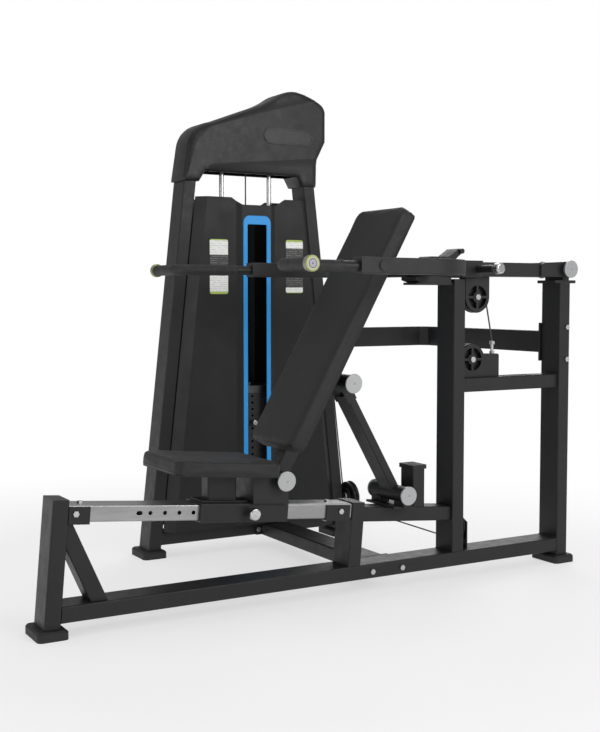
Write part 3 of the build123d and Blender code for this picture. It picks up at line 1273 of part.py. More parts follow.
with BuildPart() as lever_beam:
    with BuildSketch(LEVER_SECTION_X):
        tube_section(TUBE_WIDE, TUBE_THIN)
    extrude(amount=LEVER_REAR - LEVER_FRONT)
    # Fork plates run back to the pivot outside the frame's housing.
    for side in (-1, 1):
        with BuildSketch(side_plane(side * (TUBE_WIDE / 2 + CHEEK_PLATE / 2))):
            with BuildLine():
                Polyline((1862, ARM_LOW + 1), (ARM_PIVOT.X, ARM_LOW + 1), (ARM_PIVOT.X, ARM_PIVOT.Z + 28),
                         (1880, ARM_LOW + TUBE_THIN + 2), (1862, ARM_LOW + TUBE_THIN - 4), close=True)
            make_face()
            with Locations(xz(ARM_PIVOT)):
                Circle(28.0)
                Circle(SHAFT / 2, mode=Mode.SUBTRACT)
        extrude(amount=CHEEK_PLATE / 2, both=True)
    # Two round-ended cheeks below the beam hold the travelling pulley.
    for side in (-1, 1):
        with BuildSketch(side_plane(side * (CHEEK_GAP + CHEEK / 2))):
            with Locations(xz(ARM_PULLEY)):
                Circle(CHEEK_HALF)
            with Locations((ARM_PULLEY.X, (ARM_PULLEY.Z + ARM_LOW) / 2)):
                Rectangle(2 * CHEEK_HALF, ARM_LOW - ARM_PULLEY.Z)
            with Locations(xz(ARM_PULLEY)):
                add(cheek_windows.sketch, mode=Mode.SUBTRACT)
        extrude(amount=CHEEK / 2, both=True)
    # They are notched where the yoke's sleeve passes under the beam.
    with BuildSketch(side_plane(0)):
        with Locations(((SLEEVE_BLOCK[0] + SLEEVE_BLOCK[1]) / 2, ARM_LOW - SLEEVE_SIDE / 2)):
            Rectangle(SLEEVE_BLOCK[1] - SLEEVE_BLOCK[0] + 1, SLEEVE_SIDE)
    extrude(amount=BLOCK_HALF, both=True, mode=Mode.SUBTRACT)
    with BuildSketch(side_plane(0)):
        with Locations((ARM_PIN_X, LEVER_MIDDLE)):
            Circle(PIN_DIAMETER / 2 + RUNNING)
    extrude(amount=TUBE_WIDE / 2 + 5, mode=Mode.SUBTRACT)
lever_beam.part.label = "lever_beam"

# The yoke: a U of square tube in plan, a neck with a raised bridge, and a sleeve over the lever.
YOKE_TOP = YOKE_LOW + TUBE_THIN
YOKE_EDGE = YOKE_HALF + TUBE_THIN / 2
BRIDGE = 20.0  # height of the bridge above the yoke's tube
BRIDGE_X = (1352.0, 1384.0, 1460.0)  # foot, front and back of the bridge
LATCH = Vector(1512.0, 0, YOKE_TOP + 40)
PIN_BARREL = 86.0


def yoke_outline(inset):
    """Plan of the yoke's tube, its sides moved inwards, drawn in the open line builder."""
    front = YOKE_FRONT + inset
    back = YOKE_BACK + TUBE_THIN / 2 - inset
    inner_back = YOKE_BACK - TUBE_THIN / 2 + inset
    edge = YOKE_EDGE - inset
    inner_edge = YOKE_EDGE - TUBE_THIN + inset
    outer = FilletPolyline((front, -edge), (back, -edge), (back, edge), (front, edge),
                           radius=YOKE_BEND + TUBE_THIN / 2 - inset)
    inner = FilletPolyline((front, -inner_edge), (inner_back, -inner_edge), (inner_back, inner_edge),
                           (front, inner_edge), radius=YOKE_BEND - TUBE_THIN / 2 + inset)
    Line(outer @ 0, inner @ 0)
    Line(outer @ 1, inner @ 1)


with BuildPart() as yoke_frame:
    with BuildSketch(Plane.XY.offset(YOKE_LOW)):
        with BuildLine():
            yoke_outline(0.0)
        make_face()
    extrude(amount=TUBE_THIN)
    fillet(yoke_frame.edges().filter_by(Plane.XY), 4.0)
    with BuildSketch(Plane.XY.offset(YOKE_LOW + WALL)):
        with BuildLine():
            yoke_outline(WALL)
        make_face()
    extrude(amount=TUBE_THIN - 2 * WALL, mode=Mode.SUBTRACT)
    with BuildSketch(side_plane(0)):
        with BuildLine():
            Polyline((BRIDGE_X[0], YOKE_TOP - 5), (BRIDGE_X[1], YOKE_TOP + BRIDGE),
                     (BRIDGE_X[2], YOKE_TOP + BRIDGE), (LATCH.X - 8, LATCH.Z + 9), (LATCH.X + 2, LATCH.Z - 9),
                     (LATCH.X - 20, YOKE_TOP + 14), (LATCH.X - 8, YOKE_TOP + 6), (LATCH.X - 8, YOKE_TOP - 5),
                     close=True)
        make_face()
    extrude(amount=34.0, both=True)
    with BuildSketch(side_plane(0)):
        with Locations(xz(LATCH)):
            Circle(9.0)
    extrude(amount=44.0, both=True)
    # Neck and sleeve: each stretch is a little larger than the one before.
    for start, end, half, high in (
        (YOKE_BACK, LEVER_FRONT - 4, TUBE_WIDE / 2, TUBE_THIN + 4),
        (LEVER_FRONT - 4, SLEEVE_BLOCK[0], TUBE_WIDE / 2 + 4, TUBE_THIN + 6),
        (SLEEVE_BLOCK[0], SLEEVE_BLOCK[1], BLOCK_HALF, TUBE_THIN + 2 * SLEEVE_SIDE),
    ):
        with BuildSketch(Plane(origin=(start, 0, LEVER_MIDDLE), x_dir=(0, 1, 0), z_dir=(1, 0, 0))):
            RectangleRounded(2 * half, high, CORNER)
        extrude(amount=end - start)
    with BuildSketch(LEVER_SECTION_X):
        RectangleRounded(TUBE_WIDE, TUBE_THIN, CORNER)
    extrude(amount=SLEEVE_BLOCK[1] - LEVER_FRONT, mode=Mode.SUBTRACT)
    with BuildSketch(LEVER_SECTION_X.offset(YOKE_BACK - LEVER_FRONT)):
        RectangleRounded(TUBE_WIDE - 2 * WALL, TUBE_THIN + 4 - 2 * WALL, CORNER)
    extrude(amount=LEVER_FRONT - 10 - YOKE_BACK, mode=Mode.SUBTRACT)
    # Barrel of the pull pin, and a plug boss on each arm.
    with BuildSketch(side_plane(-BLOCK_HALF)):
        with Locations((ARM_PIN_X, LEVER_MIDDLE)):
            Circle(13.0)
    extrude(amount=PIN_BARREL)
    with BuildSketch(side_plane(-BLOCK_HALF - PIN_BARREL)):
        with Locations((ARM_PIN_X, LEVER_MIDDLE)):
            Circle(PIN_DIAMETER / 2 + RUNNING)
    extrude(amount=-PIN_BARREL - 10, mode=Mode.SUBTRACT)
    for side in (-1, 1):
        with BuildSketch(side_plane(side * (YOKE_EDGE + 1))):
            with Locations((960.0, YOKE_LOW + TUBE_THIN / 2)):
                Circle(17.0)
        extrude(amount=3.0, both=True)
yoke_frame.part.label = "yoke_frame"

with BuildPart() as arm_pin:
    with BuildSketch(side_plane(-BLOCK_HALF - PIN_BARREL - 2)):
        with Locations((ARM_PIN_X, LEVER_MIDDLE)):
            Circle(PIN_DIAMETER / 2)
    extrude(amount=-(PIN_BARREL + 2 + BLOCK_HALF - TUBE_WIDE / 2 + WALL + 4))
    with BuildSketch(side_plane(-BLOCK_HALF - PIN_BARREL - 2)):
        with Locations((ARM_PIN_X, LEVER_MIDDLE)):
            Circle(13.0)
    extrude(amount=12.0)
    with BuildSketch(side_plane(-BLOCK_HALF - PIN_BARREL - 14)):
        with Locations((ARM_PIN_X, LEVER_MIDDLE)):
            Circle(19.0)
    extrude(amount=24.0)
    fillet(arm_pin.faces().sort_by(Axis.Y)[0].edges(), 6.0)
arm_pin.part.label = "arm_pin"

# Pivot shaft of the press arm with its end caps, and the bolt of the travelling pulley.
ARM_CAP_HALF = 76.0
with BuildPart() as arm_shafts:
    add(capped_shaft(ARM_PIVOT, ARM_CAP_HALF, ARM_CAP_HALF))
    for side in (-1, 1):
        with BuildSketch(side_plane(side * (TUBE_WIDE / 2 + CHEEK_PLATE + ARM_CAP_HALF) / 2)):
            with Locations(xz(ARM_PIVOT)):
                Circle(20.0)
        extrude(amount=(ARM_CAP_HALF - TUBE_WIDE / 2 - CHEEK_PLATE) / 2, both=True)
    with Locations(Location(ARM_PULLEY)):
        add(axle(BRACKET_WIDTH))
arm_shafts.part.label = "arm_shafts"

GRIP_DIAMETER = 38.0
GRIP_START_X = 825.0
HANDLE_BEND = 45.0


def handle_path(side, start_x, end):
    """Centre line of one handle from the yoke forwards and round to the side, in the open line builder."""
    return FilletPolyline((start_x, side * YOKE_HALF, HANDLE_Z), (HANDLE_FRONT, side * YOKE_HALF, HANDLE_Z),
                          (HANDLE_FRONT, side * end, HANDLE_Z), radius=HANDLE_BEND)


with BuildPart() as handle_bars:
    for side in (-1, 1):
        with BuildLine() as bar_line:
            handle_path(side, YOKE_FRONT, HANDLE_END - 8)
        with BuildSketch(Plane(origin=(YOKE_FRONT, side * YOKE_HALF, HANDLE_Z), z_dir=(-1, 0, 0))):
            Circle(HANDLE_DIAMETER / 2)
            Circle(HANDLE_DIAMETER / 2 - WALL, mode=Mode.SUBTRACT)
        sweep(path=bar_line.line)
handle_bars.part.label = "handle_bars"

with BuildPart() as handle_grips:
    for side in (-1, 1):
        with BuildLine() as grip_line:
            handle_path(side, GRIP_START_X, HANDLE_END - 12)
        with BuildSketch(Plane(origin=(GRIP_START_X, side * YOKE_HALF, HANDLE_Z), z_dir=(-1, 0, 0))):
            Circle(GRIP_DIAMETER / 2)
            Circle(HANDLE_DIAMETER / 2, mode=Mode.SUBTRACT)
        sweep(path=grip_line.line)
handle_grips.part.label = "handle_grips"

with BuildPart() as grip_end_caps:
    for side in (-1, 1):
        with BuildSketch(Plane(origin=(HANDLE_FRONT, side * (HANDLE_END - 12), HANDLE_Z),
                               x_dir=(1, 0, 0), z_dir=(0, side, 0))):
            Circle(23.0)
            Circle(HANDLE_DIAMETER / 2, mode=Mode.SUBTRACT)
        extrude(amount=4.0)
        with BuildSketch(Plane(origin=(HANDLE_FRONT, side * (HANDLE_END - 8), HANDLE_Z),
                               x_dir=(1, 0, 0), z_dir=(0, side, 0))):
            Circle(23.0)
        extrude(amount=12.0)
    outer_rims = grip_end_caps.faces().filter_by(Axis.Y).group_by(Axis.Y)
    fillet(outer_rims[0].edges() + outer_rims[-1].edges(), 3.0)
grip_end_caps.part.label = "grip_end_caps"

# ---------------------------------------------------------------- fasteners

with BuildPart() as frame_bolts:
    for spot in spots(side_plane(-TUBE_WIDE / 2), *CONNECT_BOLTS, *STAY_BOLTS):
        add(bolt(Plane(spot), TUBE_WIDE + PLATE))
    for spot in spots(side_plane(TOWER_FRONT + 12.5 - PLATE), *CONNECT_BOLTS):
        add(bolt(Plane(spot), PLATE + WALL))
    for spot in spots(rail_flank(RAIL_WIDE / 2 + SOCKET_WALL), *socket_side_points):
        add(bolt(Plane(spot), RAIL_WIDE + 2 * SOCKET_WALL))
    for spot in spots(rail_level(0), *socket_up_points):
        add(bolt(Plane(spot), TUBE_THIN + SOCKET_WALL))
    add(cable_anchor.part)
    for place in PULLEY_PLACES.values():
        with Locations(place):
            add(axle(BRACKET_WIDTH))
frame_bolts.part.label = "frame_bolts"

# ---------------------------------------------------------------- files

PIECES = (
    front_post, base_tube, front_brace, rail_support_post, upper_beam, middle_post, rear_post, cross_bar,
    seat_rail, rail_sockets, stop_post, rubber_stops, foot_pads, link_pivot_stand, link_pivot_shaft,
    arm_pivot_stand, connection_tube, stabiliser_beam, tower_frame, tower_cross_beams, guide_rods,
    weight_plates_lower, weight_plates_lifted, selector_stem, selector_pin, front_shroud, rear_shroud,
    slot_trim, top_cowl, cowl_badge, instruction_plates, idler_pulley, foot_pulley, side_pulley,
    top_pulley_right, top_pulley_center, arm_pulley, pulley_brackets, cable_fixed_run, cable_anchor_run,
    cable_drop_run, cable_arm_loop, stack_cable, carriage_sleeve, carriage_pin, seat_frame,
    seat_pad, carriage_pivot_shaft, back_pad, backrest_frame, link_arm, link_top_shafts, lever_beam,
    yoke_frame, arm_pin, arm_shafts, handle_bars, handle_grips, grip_end_caps, frame_bolts,
)
for piece in PIECES:
    export_step(piece.part, f"parts/{piece.part.label}.step")
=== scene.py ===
"""Looks of the multi press: materials, cushions, grips, cables, cowl, welds, light and camera.

Metres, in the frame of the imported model: +X runs from the front post to the press arm's pivot, and +Y
to the tower.
"""

import json
import math
import random

import bmesh
import bpy
from mathutils import Matrix, Vector
from mathutils.geometry import delaunay_2d_cdt


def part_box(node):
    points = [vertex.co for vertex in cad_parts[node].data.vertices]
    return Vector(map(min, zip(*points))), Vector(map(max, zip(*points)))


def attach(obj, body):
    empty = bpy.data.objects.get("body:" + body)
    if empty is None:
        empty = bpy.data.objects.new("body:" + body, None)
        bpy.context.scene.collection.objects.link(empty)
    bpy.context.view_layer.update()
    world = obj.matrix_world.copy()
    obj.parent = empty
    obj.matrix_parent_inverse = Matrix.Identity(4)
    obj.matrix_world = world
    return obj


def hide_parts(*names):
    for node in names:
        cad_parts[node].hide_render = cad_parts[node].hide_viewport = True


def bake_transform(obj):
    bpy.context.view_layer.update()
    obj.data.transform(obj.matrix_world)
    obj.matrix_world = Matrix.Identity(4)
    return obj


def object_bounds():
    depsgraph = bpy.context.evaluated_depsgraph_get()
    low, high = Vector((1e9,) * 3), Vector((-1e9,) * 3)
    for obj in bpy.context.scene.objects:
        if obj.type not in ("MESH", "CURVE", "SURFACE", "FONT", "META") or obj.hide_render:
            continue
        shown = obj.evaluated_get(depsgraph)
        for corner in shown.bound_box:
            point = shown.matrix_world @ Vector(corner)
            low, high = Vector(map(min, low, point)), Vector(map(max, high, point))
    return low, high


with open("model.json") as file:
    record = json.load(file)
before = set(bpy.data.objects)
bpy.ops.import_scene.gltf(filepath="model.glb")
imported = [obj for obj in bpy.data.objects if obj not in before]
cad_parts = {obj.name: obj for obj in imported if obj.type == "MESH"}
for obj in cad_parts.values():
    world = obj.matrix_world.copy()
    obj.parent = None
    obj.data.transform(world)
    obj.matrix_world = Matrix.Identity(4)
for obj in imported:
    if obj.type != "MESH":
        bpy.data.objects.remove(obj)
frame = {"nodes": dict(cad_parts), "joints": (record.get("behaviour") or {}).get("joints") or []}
cad_low, cad_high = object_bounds()
NODES = frame["nodes"]
MM = 0.001
UP = Vector((0, 0, 1))
random.seed(7)


# ---------------------------------------------------------------- node graphs


class Graph:
    """Short ways to add and join the nodes of one material."""

    def __init__(self, name):
        self.material = bpy.data.materials.new(name)
        self.material.use_nodes = True
        self.tree = self.material.node_tree
        self.shader = self.tree.nodes["Principled BSDF"]
        self.place = self.add("ShaderNodeTexCoord").outputs["Object"]

    def add(self, kind, **settings):
        node = self.tree.nodes.new(kind)
        for key, value in settings.items():
            setattr(node, key, value)
        return node

    def link(self, value, socket):
        """Joins an output to a socket, or sets the socket to a plain value."""
        if isinstance(value, bpy.types.NodeSocket):
            self.tree.links.new(value, socket)
        else:
            socket.default_value = value

    def mapped(self, scale=(1, 1, 1), turn=(0, 0, 0), shift=(0, 0, 0)):
        node = self.add("ShaderNodeMapping")
        self.link(self.place, node.inputs["Vector"])
        node.inputs["Location"].default_value = shift
        node.inputs["Rotation"].default_value = turn
        node.inputs["Scale"].default_value = scale
        return node.outputs["Vector"]

    def noise(self, scale, detail=4.0, rough=0.55, vector=None):
        node = self.add("ShaderNodeTexNoise")
        self.link(vector or self.place, node.inputs["Vector"])
        node.inputs["Scale"].default_value = scale
        node.inputs["Detail"].default_value = detail
        node.inputs["Roughness"].default_value = rough
        return node.outputs["Fac"]

    def cells(self, scale, vector=None):
        node = self.add("ShaderNodeTexVoronoi", feature="DISTANCE_TO_EDGE")
        self.link(vector or self.place, node.inputs["Vector"])
        node.inputs["Scale"].default_value = scale
        return node.outputs["Distance"]

    def waves(self, scale, vector=None, kind="BANDS", direction="X", distort=0.0):
        node = self.add("ShaderNodeTexWave", wave_type=kind)
        if kind == "BANDS":
            node.bands_direction = direction
        else:
            node.rings_direction = direction
        self.link(vector or self.place, node.inputs["Vector"])
        node.inputs["Scale"].default_value = scale
        node.inputs["Distortion"].default_value = distort
        return node.outputs["Fac"]

    def remap(self, value, low, high, to_low=0.0, to_high=1.0):
        node = self.add("ShaderNodeMapRange")
        self.link(value, node.inputs["Value"])
        for key, number in (("From Min", low), ("From Max", high), ("To Min", to_low), ("To Max", to_high)):
            node.inputs[key].default_value = number
        return node.outputs["Result"]

    def math(self, operation, a, b=0.0):
        node = self.add("ShaderNodeMath", operation=operation)
        self.link(a, node.inputs[0])
        self.link(b, node.inputs[1])
        return node.outputs[0]

    def mix(self, factor, a, b):
        """Mixed colour of two colours (three numbers) or outputs."""
        node = self.add("ShaderNodeMix", data_type="RGBA")
        self.link(factor, node.inputs[0])
        for value, socket in ((a, node.inputs[6]), (b, node.inputs[7])):
            self.link((*value, 1.0) if isinstance(value, tuple) else value, socket)
        return node.outputs[2]

    def steps(self, value, stops):
        """Colour that changes at once at each stop; stops are (place from 0 to 1, colour)."""
        ramp = self.add("ShaderNodeValToRGB")
        ramp.color_ramp.interpolation = "CONSTANT"
        points = ramp.color_ramp.elements
        while len(points) < len(stops):
            points.new(0.5)
        for point, (at, ink) in zip(points, stops):
            point.position = at
            point.color = (*ink, 1.0)
        self.link(value, ramp.inputs[0])
        return ramp.outputs["Color"]

    def bump(self, height, strength, distance, below=None):
        node = self.add("ShaderNodeBump")
        self.link(height, node.inputs["Height"])
        node.inputs["Strength"].default_value = strength
        node.inputs["Distance"].default_value = distance
        if below:
            self.link(below, node.inputs["Normal"])
        return node.outputs["Normal"]

    def edges(self, radius):
        """1 on sharp edges and 0 elsewhere, and a rounded normal; most finishes lighten their colour by it as
        a painted edge highlight, and the powder coat and weight paint also use it for rubbed and chipped
        paint.
        """
        bevel = self.add("ShaderNodeBevel", samples=4)
        bevel.inputs["Radius"].default_value = radius
        flat = self.add("ShaderNodeNewGeometry")
        dot = self.add("ShaderNodeVectorMath", operation="DOT_PRODUCT")
        self.link(bevel.outputs["Normal"], dot.inputs[0])
        self.link(flat.outputs["Normal"], dot.inputs[1])
        return self.remap(dot.outputs["Value"], 0.995, 0.9), bevel.outputs["Normal"]

    def finish(self, color, rough, normal=None, metallic=0.0, **extra):
        self.link((*color, 1.0) if isinstance(color, tuple) else color, self.shader.inputs["Base Color"])
        self.link(rough, self.shader.inputs["Roughness"])
        self.link(metallic, self.shader.inputs["Metallic"])
        if normal:
            self.link(normal, self.shader.inputs["Normal"])
        for key, value in extra.items():
            self.link(value, self.shader.inputs[key.replace("_", " ")])
        return self.material


# ---------------------------------------------------------------- materials


def powder_coat():
    """Textured black powder coat, a little greyer on its edges: partly rubbed paint, partly a painted edge
    highlight.
    """
    g = Graph("powder_coat")
    edge_wear_and_highlight, rounded = g.edges(2.2 * MM)
    patches = g.remap(g.noise(9.0), 0.3, 0.7)
    color = g.mix(patches, (0.0095, 0.0095, 0.0100), (0.0135, 0.0135, 0.0140))
    # Greyer edges in patches: partly rubbed paint, partly a painted edge highlight.
    rubbed = g.math("MULTIPLY", edge_wear_and_highlight, g.remap(g.noise(60.0), 0.35, 0.7, 0.1, 0.6))
    color = g.mix(rubbed, color, (0.055, 0.055, 0.056))
    rough = g.remap(g.noise(25.0, 6.0), 0.3, 0.7, 0.38, 0.52)
    grain = g.math("ADD", g.noise(1500.0, 2.0), g.math("MULTIPLY", g.cells(900.0), 0.7))
    return g.finish(color, rough, g.bump(grain, 0.22, 0.25 * MM, rounded), Specular_IOR_Level=0.36)


def satin_sheet():
    """Satin black sheet metal of the tower's covers, with a faint orange peel."""
    g = Graph("satin_sheet")
    edge_wear_and_highlight, rounded = g.edges(1.5 * MM)
    color = g.mix(g.remap(g.noise(4.0), 0.3, 0.7), (0.0080, 0.0080, 0.0085), (0.0110, 0.0110, 0.0115))
    # Lighter sharp edges: a painted edge highlight.
    color = g.mix(g.math("MULTIPLY", edge_wear_and_highlight, 0.35), color, (0.05, 0.05, 0.05))
    rough = g.remap(g.noise(14.0, 5.0), 0.3, 0.7, 0.42, 0.55)
    peel = g.bump(g.noise(260.0, 2.0), 0.12, 0.3 * MM, rounded)
    return g.finish(color, rough, g.bump(g.noise(1800.0, 1.0), 0.1, 0.1 * MM, peel), Specular_IOR_Level=0.34)


def moulded_plastic(name, dark, light, rough, grain_scale=1400.0, grain=0.25):
    """Moulded plastic with a spark-eroded grain and slight shade changes."""
    g = Graph(name)
    edge_wear_and_highlight, rounded = g.edges(1.8 * MM)
    color = g.mix(g.remap(g.noise(7.0), 0.3, 0.7), dark, light)
    # Lighter sharp edges: a painted edge highlight.
    color = g.mix(g.math("MULTIPLY", edge_wear_and_highlight, 0.25), color, tuple(min(1.0, c * 2.2) for c in light))
    shade = g.remap(g.noise(30.0, 5.0), 0.3, 0.7, rough - 0.05, rough + 0.07)
    normal = g.bump(g.cells(grain_scale), grain, 0.15 * MM, rounded)
    return g.finish(color, shade, normal, Specular_IOR_Level=0.36)


def rubber():
    """Moulded black rubber with a dusty bloom."""
    g = Graph("moulded_rubber")
    dust = g.remap(g.noise(38.0, 7.0, 0.7), 0.45, 0.8)
    color = g.mix(dust, (0.008, 0.008, 0.0085), (0.022, 0.0215, 0.021))
    return g.finish(color, g.remap(dust, 0, 1, 0.6, 0.85), g.bump(g.noise(700.0, 3.0), 0.3, 0.3 * MM))


def leather():
    """Grained synthetic leather: small pebbles, fine creases and soft shade changes."""
    g = Graph("pad_leather")
    warp = g.add("ShaderNodeVectorMath", operation="MULTIPLY_ADD")
    noise = g.add("ShaderNodeTexNoise")
    g.link(g.place, noise.inputs["Vector"])
    noise.inputs["Scale"].default_value = 90.0
    g.link(noise.outputs["Color"], warp.inputs[0])
    warp.inputs[1].default_value = (0.004, 0.004, 0.004)
    g.link(g.place, warp.inputs[2])
    pebbles = g.remap(g.cells(420.0, warp.outputs["Vector"]), 0.0, 0.22)
    tone = g.mix(g.remap(g.noise(5.0, 3.0), 0.3, 0.7), (0.0135, 0.0135, 0.0140), (0.0185, 0.0185, 0.0190))
    color = g.mix(g.math("SUBTRACT", 1.0, pebbles), tone, (0.007, 0.007, 0.0075))
    patches = g.remap(g.noise(11.0, 4.0), 0.3, 0.7, -0.04, 0.05)
    rough = g.math("ADD", g.remap(pebbles, 0, 1, 0.56, 0.44), patches)
    creases = g.bump(g.noise(34.0, 6.0, 0.6), 0.10, 1.6 * MM)
    normal = g.bump(pebbles, 0.42, 0.35 * MM, creases)
    return g.finish(color, rough, normal, Specular_IOR_Level=0.34, Sheen_Weight=0.04, Sheen_Roughness=0.5)


def thread():
    """Dark twisted sewing thread."""
    g = Graph("pad_thread")
    twist = g.waves(900.0, g.mapped(turn=(0.6, 0.6, 0.6)))
    color = g.mix(twist, (0.012, 0.012, 0.013), (0.03, 0.03, 0.032))
    return g.finish(color, 0.7, g.bump(twist, 0.5, 0.2 * MM))


def grip_rubber():
    """Soft foam rubber of the hand grips, with fine pores and a matte skin."""
    g = Graph("grip_rubber")
    pores = g.remap(g.cells(650.0), 0.0, 0.3)
    color = g.mix(g.remap(g.noise(26.0, 5.0), 0.35, 0.7), (0.009, 0.009, 0.0095), (0.017, 0.017, 0.0175))
    skin = g.bump(g.noise(220.0, 4.0), 0.2, 0.5 * MM)
    return g.finish(color, g.remap(g.noise(60.0), 0.3, 0.7, 0.55, 0.72), g.bump(pores, 0.3, 0.2 * MM, skin))


def plated_rail():
    """Satin plated steel rail: lines drawn along its length and light rub marks from the carriage."""
    g = Graph("plated_rail")
    slope = math.atan2(rail_axis.z, rail_axis.x)
    drawn = g.noise(90.0, 5.0, 0.6, g.mapped((0.05, 1.0, 1.0), turn=(0, slope, 0)))
    rubbed = g.remap(g.noise(16.0, 6.0, 0.7, g.mapped((0.12, 1.0, 1.0), turn=(0, slope, 0))), 0.45, 0.7)
    edge_wear_and_highlight, rounded = g.edges(1.5 * MM)
    color = g.mix(rubbed, (0.30, 0.30, 0.305), (0.42, 0.42, 0.415))
    # Near-white sharp edges: a painted edge highlight.
    color = g.mix(g.math("MULTIPLY", edge_wear_and_highlight, 0.4), color, (0.85, 0.85, 0.85))
    rough = g.math("ADD", g.remap(drawn, 0.3, 0.7, 0.30, 0.42), g.math("MULTIPLY", rubbed, -0.06))
    return g.finish(color, rough, g.bump(drawn, 0.16, 0.1 * MM, rounded), metallic=0.9)


def turned_metal(name, center, tint=(0.44, 0.445, 0.45)):
    """Turned and anodised face: fine rings about an axis along Y through center, with a soft satin sheen."""
    g = Graph(name)
    around = g.mapped(shift=(-center.x, 0, -center.z))
    rings = g.waves(420.0, around, "RINGS", "Y", 0.4)
    coarse = g.waves(60.0, around, "RINGS", "Y", 1.0)
    edge_wear_and_highlight, rounded = g.edges(0.8 * MM)
    color = g.mix(g.math("MULTIPLY", rings, 0.5), tint, tuple(c * 0.86 for c in tint))
    # Near-white sharp edges: a painted edge highlight.
    color = g.mix(g.math("MULTIPLY", edge_wear_and_highlight, 0.5), color, (0.93, 0.93, 0.93))
    rough = g.math("ADD", g.remap(coarse, 0, 1, 0.30, 0.38), g.remap(g.noise(40.0), 0.3, 0.7, -0.03, 0.05))
    return g.finish(color, rough, g.bump(rings, 0.12, 0.08 * MM, rounded), metallic=0.75)


def ringed_metal(name, center):
    """Turned grip end: zones about an axis along Y, from a dark centre to a yellow-green ring and the rim."""
    g = Graph(name)
    around = g.mapped(shift=(-center.x, 0, -center.z))
    flat = g.add("ShaderNodeVectorMath", operation="MULTIPLY")
    g.link(around, flat.inputs[0])
    flat.inputs[1].default_value = (1.0, 0.0, 1.0)
    radius = g.add("ShaderNodeVectorMath", operation="LENGTH")
    g.link(flat.outputs["Vector"], radius.inputs[0])
    share = g.remap(radius.outputs["Value"], 0.0, 25.0 * MM)
    zones = g.steps(share, (
        (0.00, (0.03, 0.03, 0.04)),
        (0.10, (0.30, 0.29, 0.34)),
        (0.44, (0.05, 0.05, 0.04)),
        (0.54, (0.42, 0.42, 0.36)),
        (0.68, (0.32, 0.35, 0.08)),
        (0.88, (0.22, 0.22, 0.16)),
    ))
    rings = g.waves(420.0, around, "RINGS", "Y", 0.4)
    edge_wear_and_highlight, rounded = g.edges(0.8 * MM)
    color = g.mix(g.math("MULTIPLY", rings, 0.25), zones, (0.3, 0.3, 0.3))
    # Lighter sharp edges: a painted edge highlight.
    color = g.mix(g.math("MULTIPLY", edge_wear_and_highlight, 0.4), color, (0.8, 0.8, 0.78))
    rough = g.remap(g.noise(40.0), 0.3, 0.7, 0.32, 0.42)
    return g.finish(color, rough, g.bump(rings, 0.12, 0.08 * MM, rounded), metallic=0.3)


def polished(name, tint, rough):
    """Polished or plated steel with faint handling haze and hairlines."""
    g = Graph(name)
    haze = g.remap(g.noise(55.0, 6.0, 0.65), 0.4, 0.75)
    hair = g.noise(500.0, 2.0, 0.5, g.mapped((1.0, 1.0, 0.06)))
    edge_wear_and_highlight, rounded = g.edges(0.7 * MM)
    color = g.mix(haze, tint, tuple(c * 0.82 for c in tint))
    # Near-white sharp edges: a painted edge highlight.
    color = g.mix(g.math("MULTIPLY", edge_wear_and_highlight, 0.4), color, (0.92, 0.92, 0.92))
    shade = g.remap(haze, 0, 1, rough, rough + 0.14)
    return g.finish(color, shade, g.bump(hair, 0.06, 0.05 * MM, rounded), metallic=1.0)


def weight_paint():
    """Dark hammered paint of the weight plates, with chipped edges."""
    g = Graph("weight_paint")
    edge_wear_and_highlight, rounded = g.edges(1.6 * MM)
    chips = g.math("MULTIPLY", edge_wear_and_highlight, g.remap(g.noise(140.0, 5.0), 0.5, 0.62))
    color = g.mix(g.remap(g.noise(12.0), 0.3, 0.7), (0.010, 0.010, 0.0105), (0.020, 0.020, 0.021))
    color = g.mix(chips, color, (0.12, 0.12, 0.12))
    rough = g.remap(g.noise(45.0), 0.3, 0.7, 0.36, 0.5)
    return g.finish(color, rough, g.bump(g.cells(160.0), 0.3, 0.5 * MM, rounded))


def cable_jacket():
    """Black nylon jacket with the twist of the strands showing through."""
    g = Graph("cable_jacket")
    twist = g.waves(330.0, g.mapped(turn=(0.5, 0.5, 0.0)), direction="Z")
    color = g.mix(twist, (0.018, 0.018, 0.02), (0.05, 0.05, 0.052))
    return g.finish(color, g.remap(g.noise(90.0), 0.3, 0.7, 0.28, 0.42), g.bump(twist, 0.35, 0.3 * MM))


def placard():
    """Blank instruction plates: a pale panel, dark bands of fine lines and a green edge, by height."""
    g = Graph("placard")
    low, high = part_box("instruction_plates")
    xyz = g.add("ShaderNodeSeparateXYZ")
    g.link(g.place, xyz.inputs[0])
    height = g.remap(xyz.outputs["Z"], low.z, high.z)
    right = g.math("GREATER_THAN", xyz.outputs["X"], (low.x + high.x) / 2)
    dark, green, pale = (0.035, 0.033, 0.032), (0.42, 0.55, 0.10), (0.86, 0.87, 0.84)
    left_bands = g.steps(height, ((0.0, green), (0.04, pale), (0.36, dark), (0.70, pale), (0.96, green)))
    right_bands = g.steps(height, ((0.0, green), (0.03, pale), (0.12, dark), (0.845, pale), (0.96, green)))
    color = g.mix(right, left_bands, right_bands)
    lines = g.remap(g.waves(38.0, direction="Z"), 0.84, 0.9)
    broken = g.math("GREATER_THAN", g.noise(75.0, 1.0, 0.5, g.mapped((1.0, 1.0, 4.0))), 0.47)
    color = g.mix(g.math("MULTIPLY", g.math("MULTIPLY", lines, broken), 0.55), color, (0.3, 0.3, 0.29))
    rough = g.remap(g.noise(20.0), 0.3, 0.7, 0.3, 0.42)
    return g.finish(color, rough, g.bump(g.noise(500.0), 0.05, 0.1 * MM))


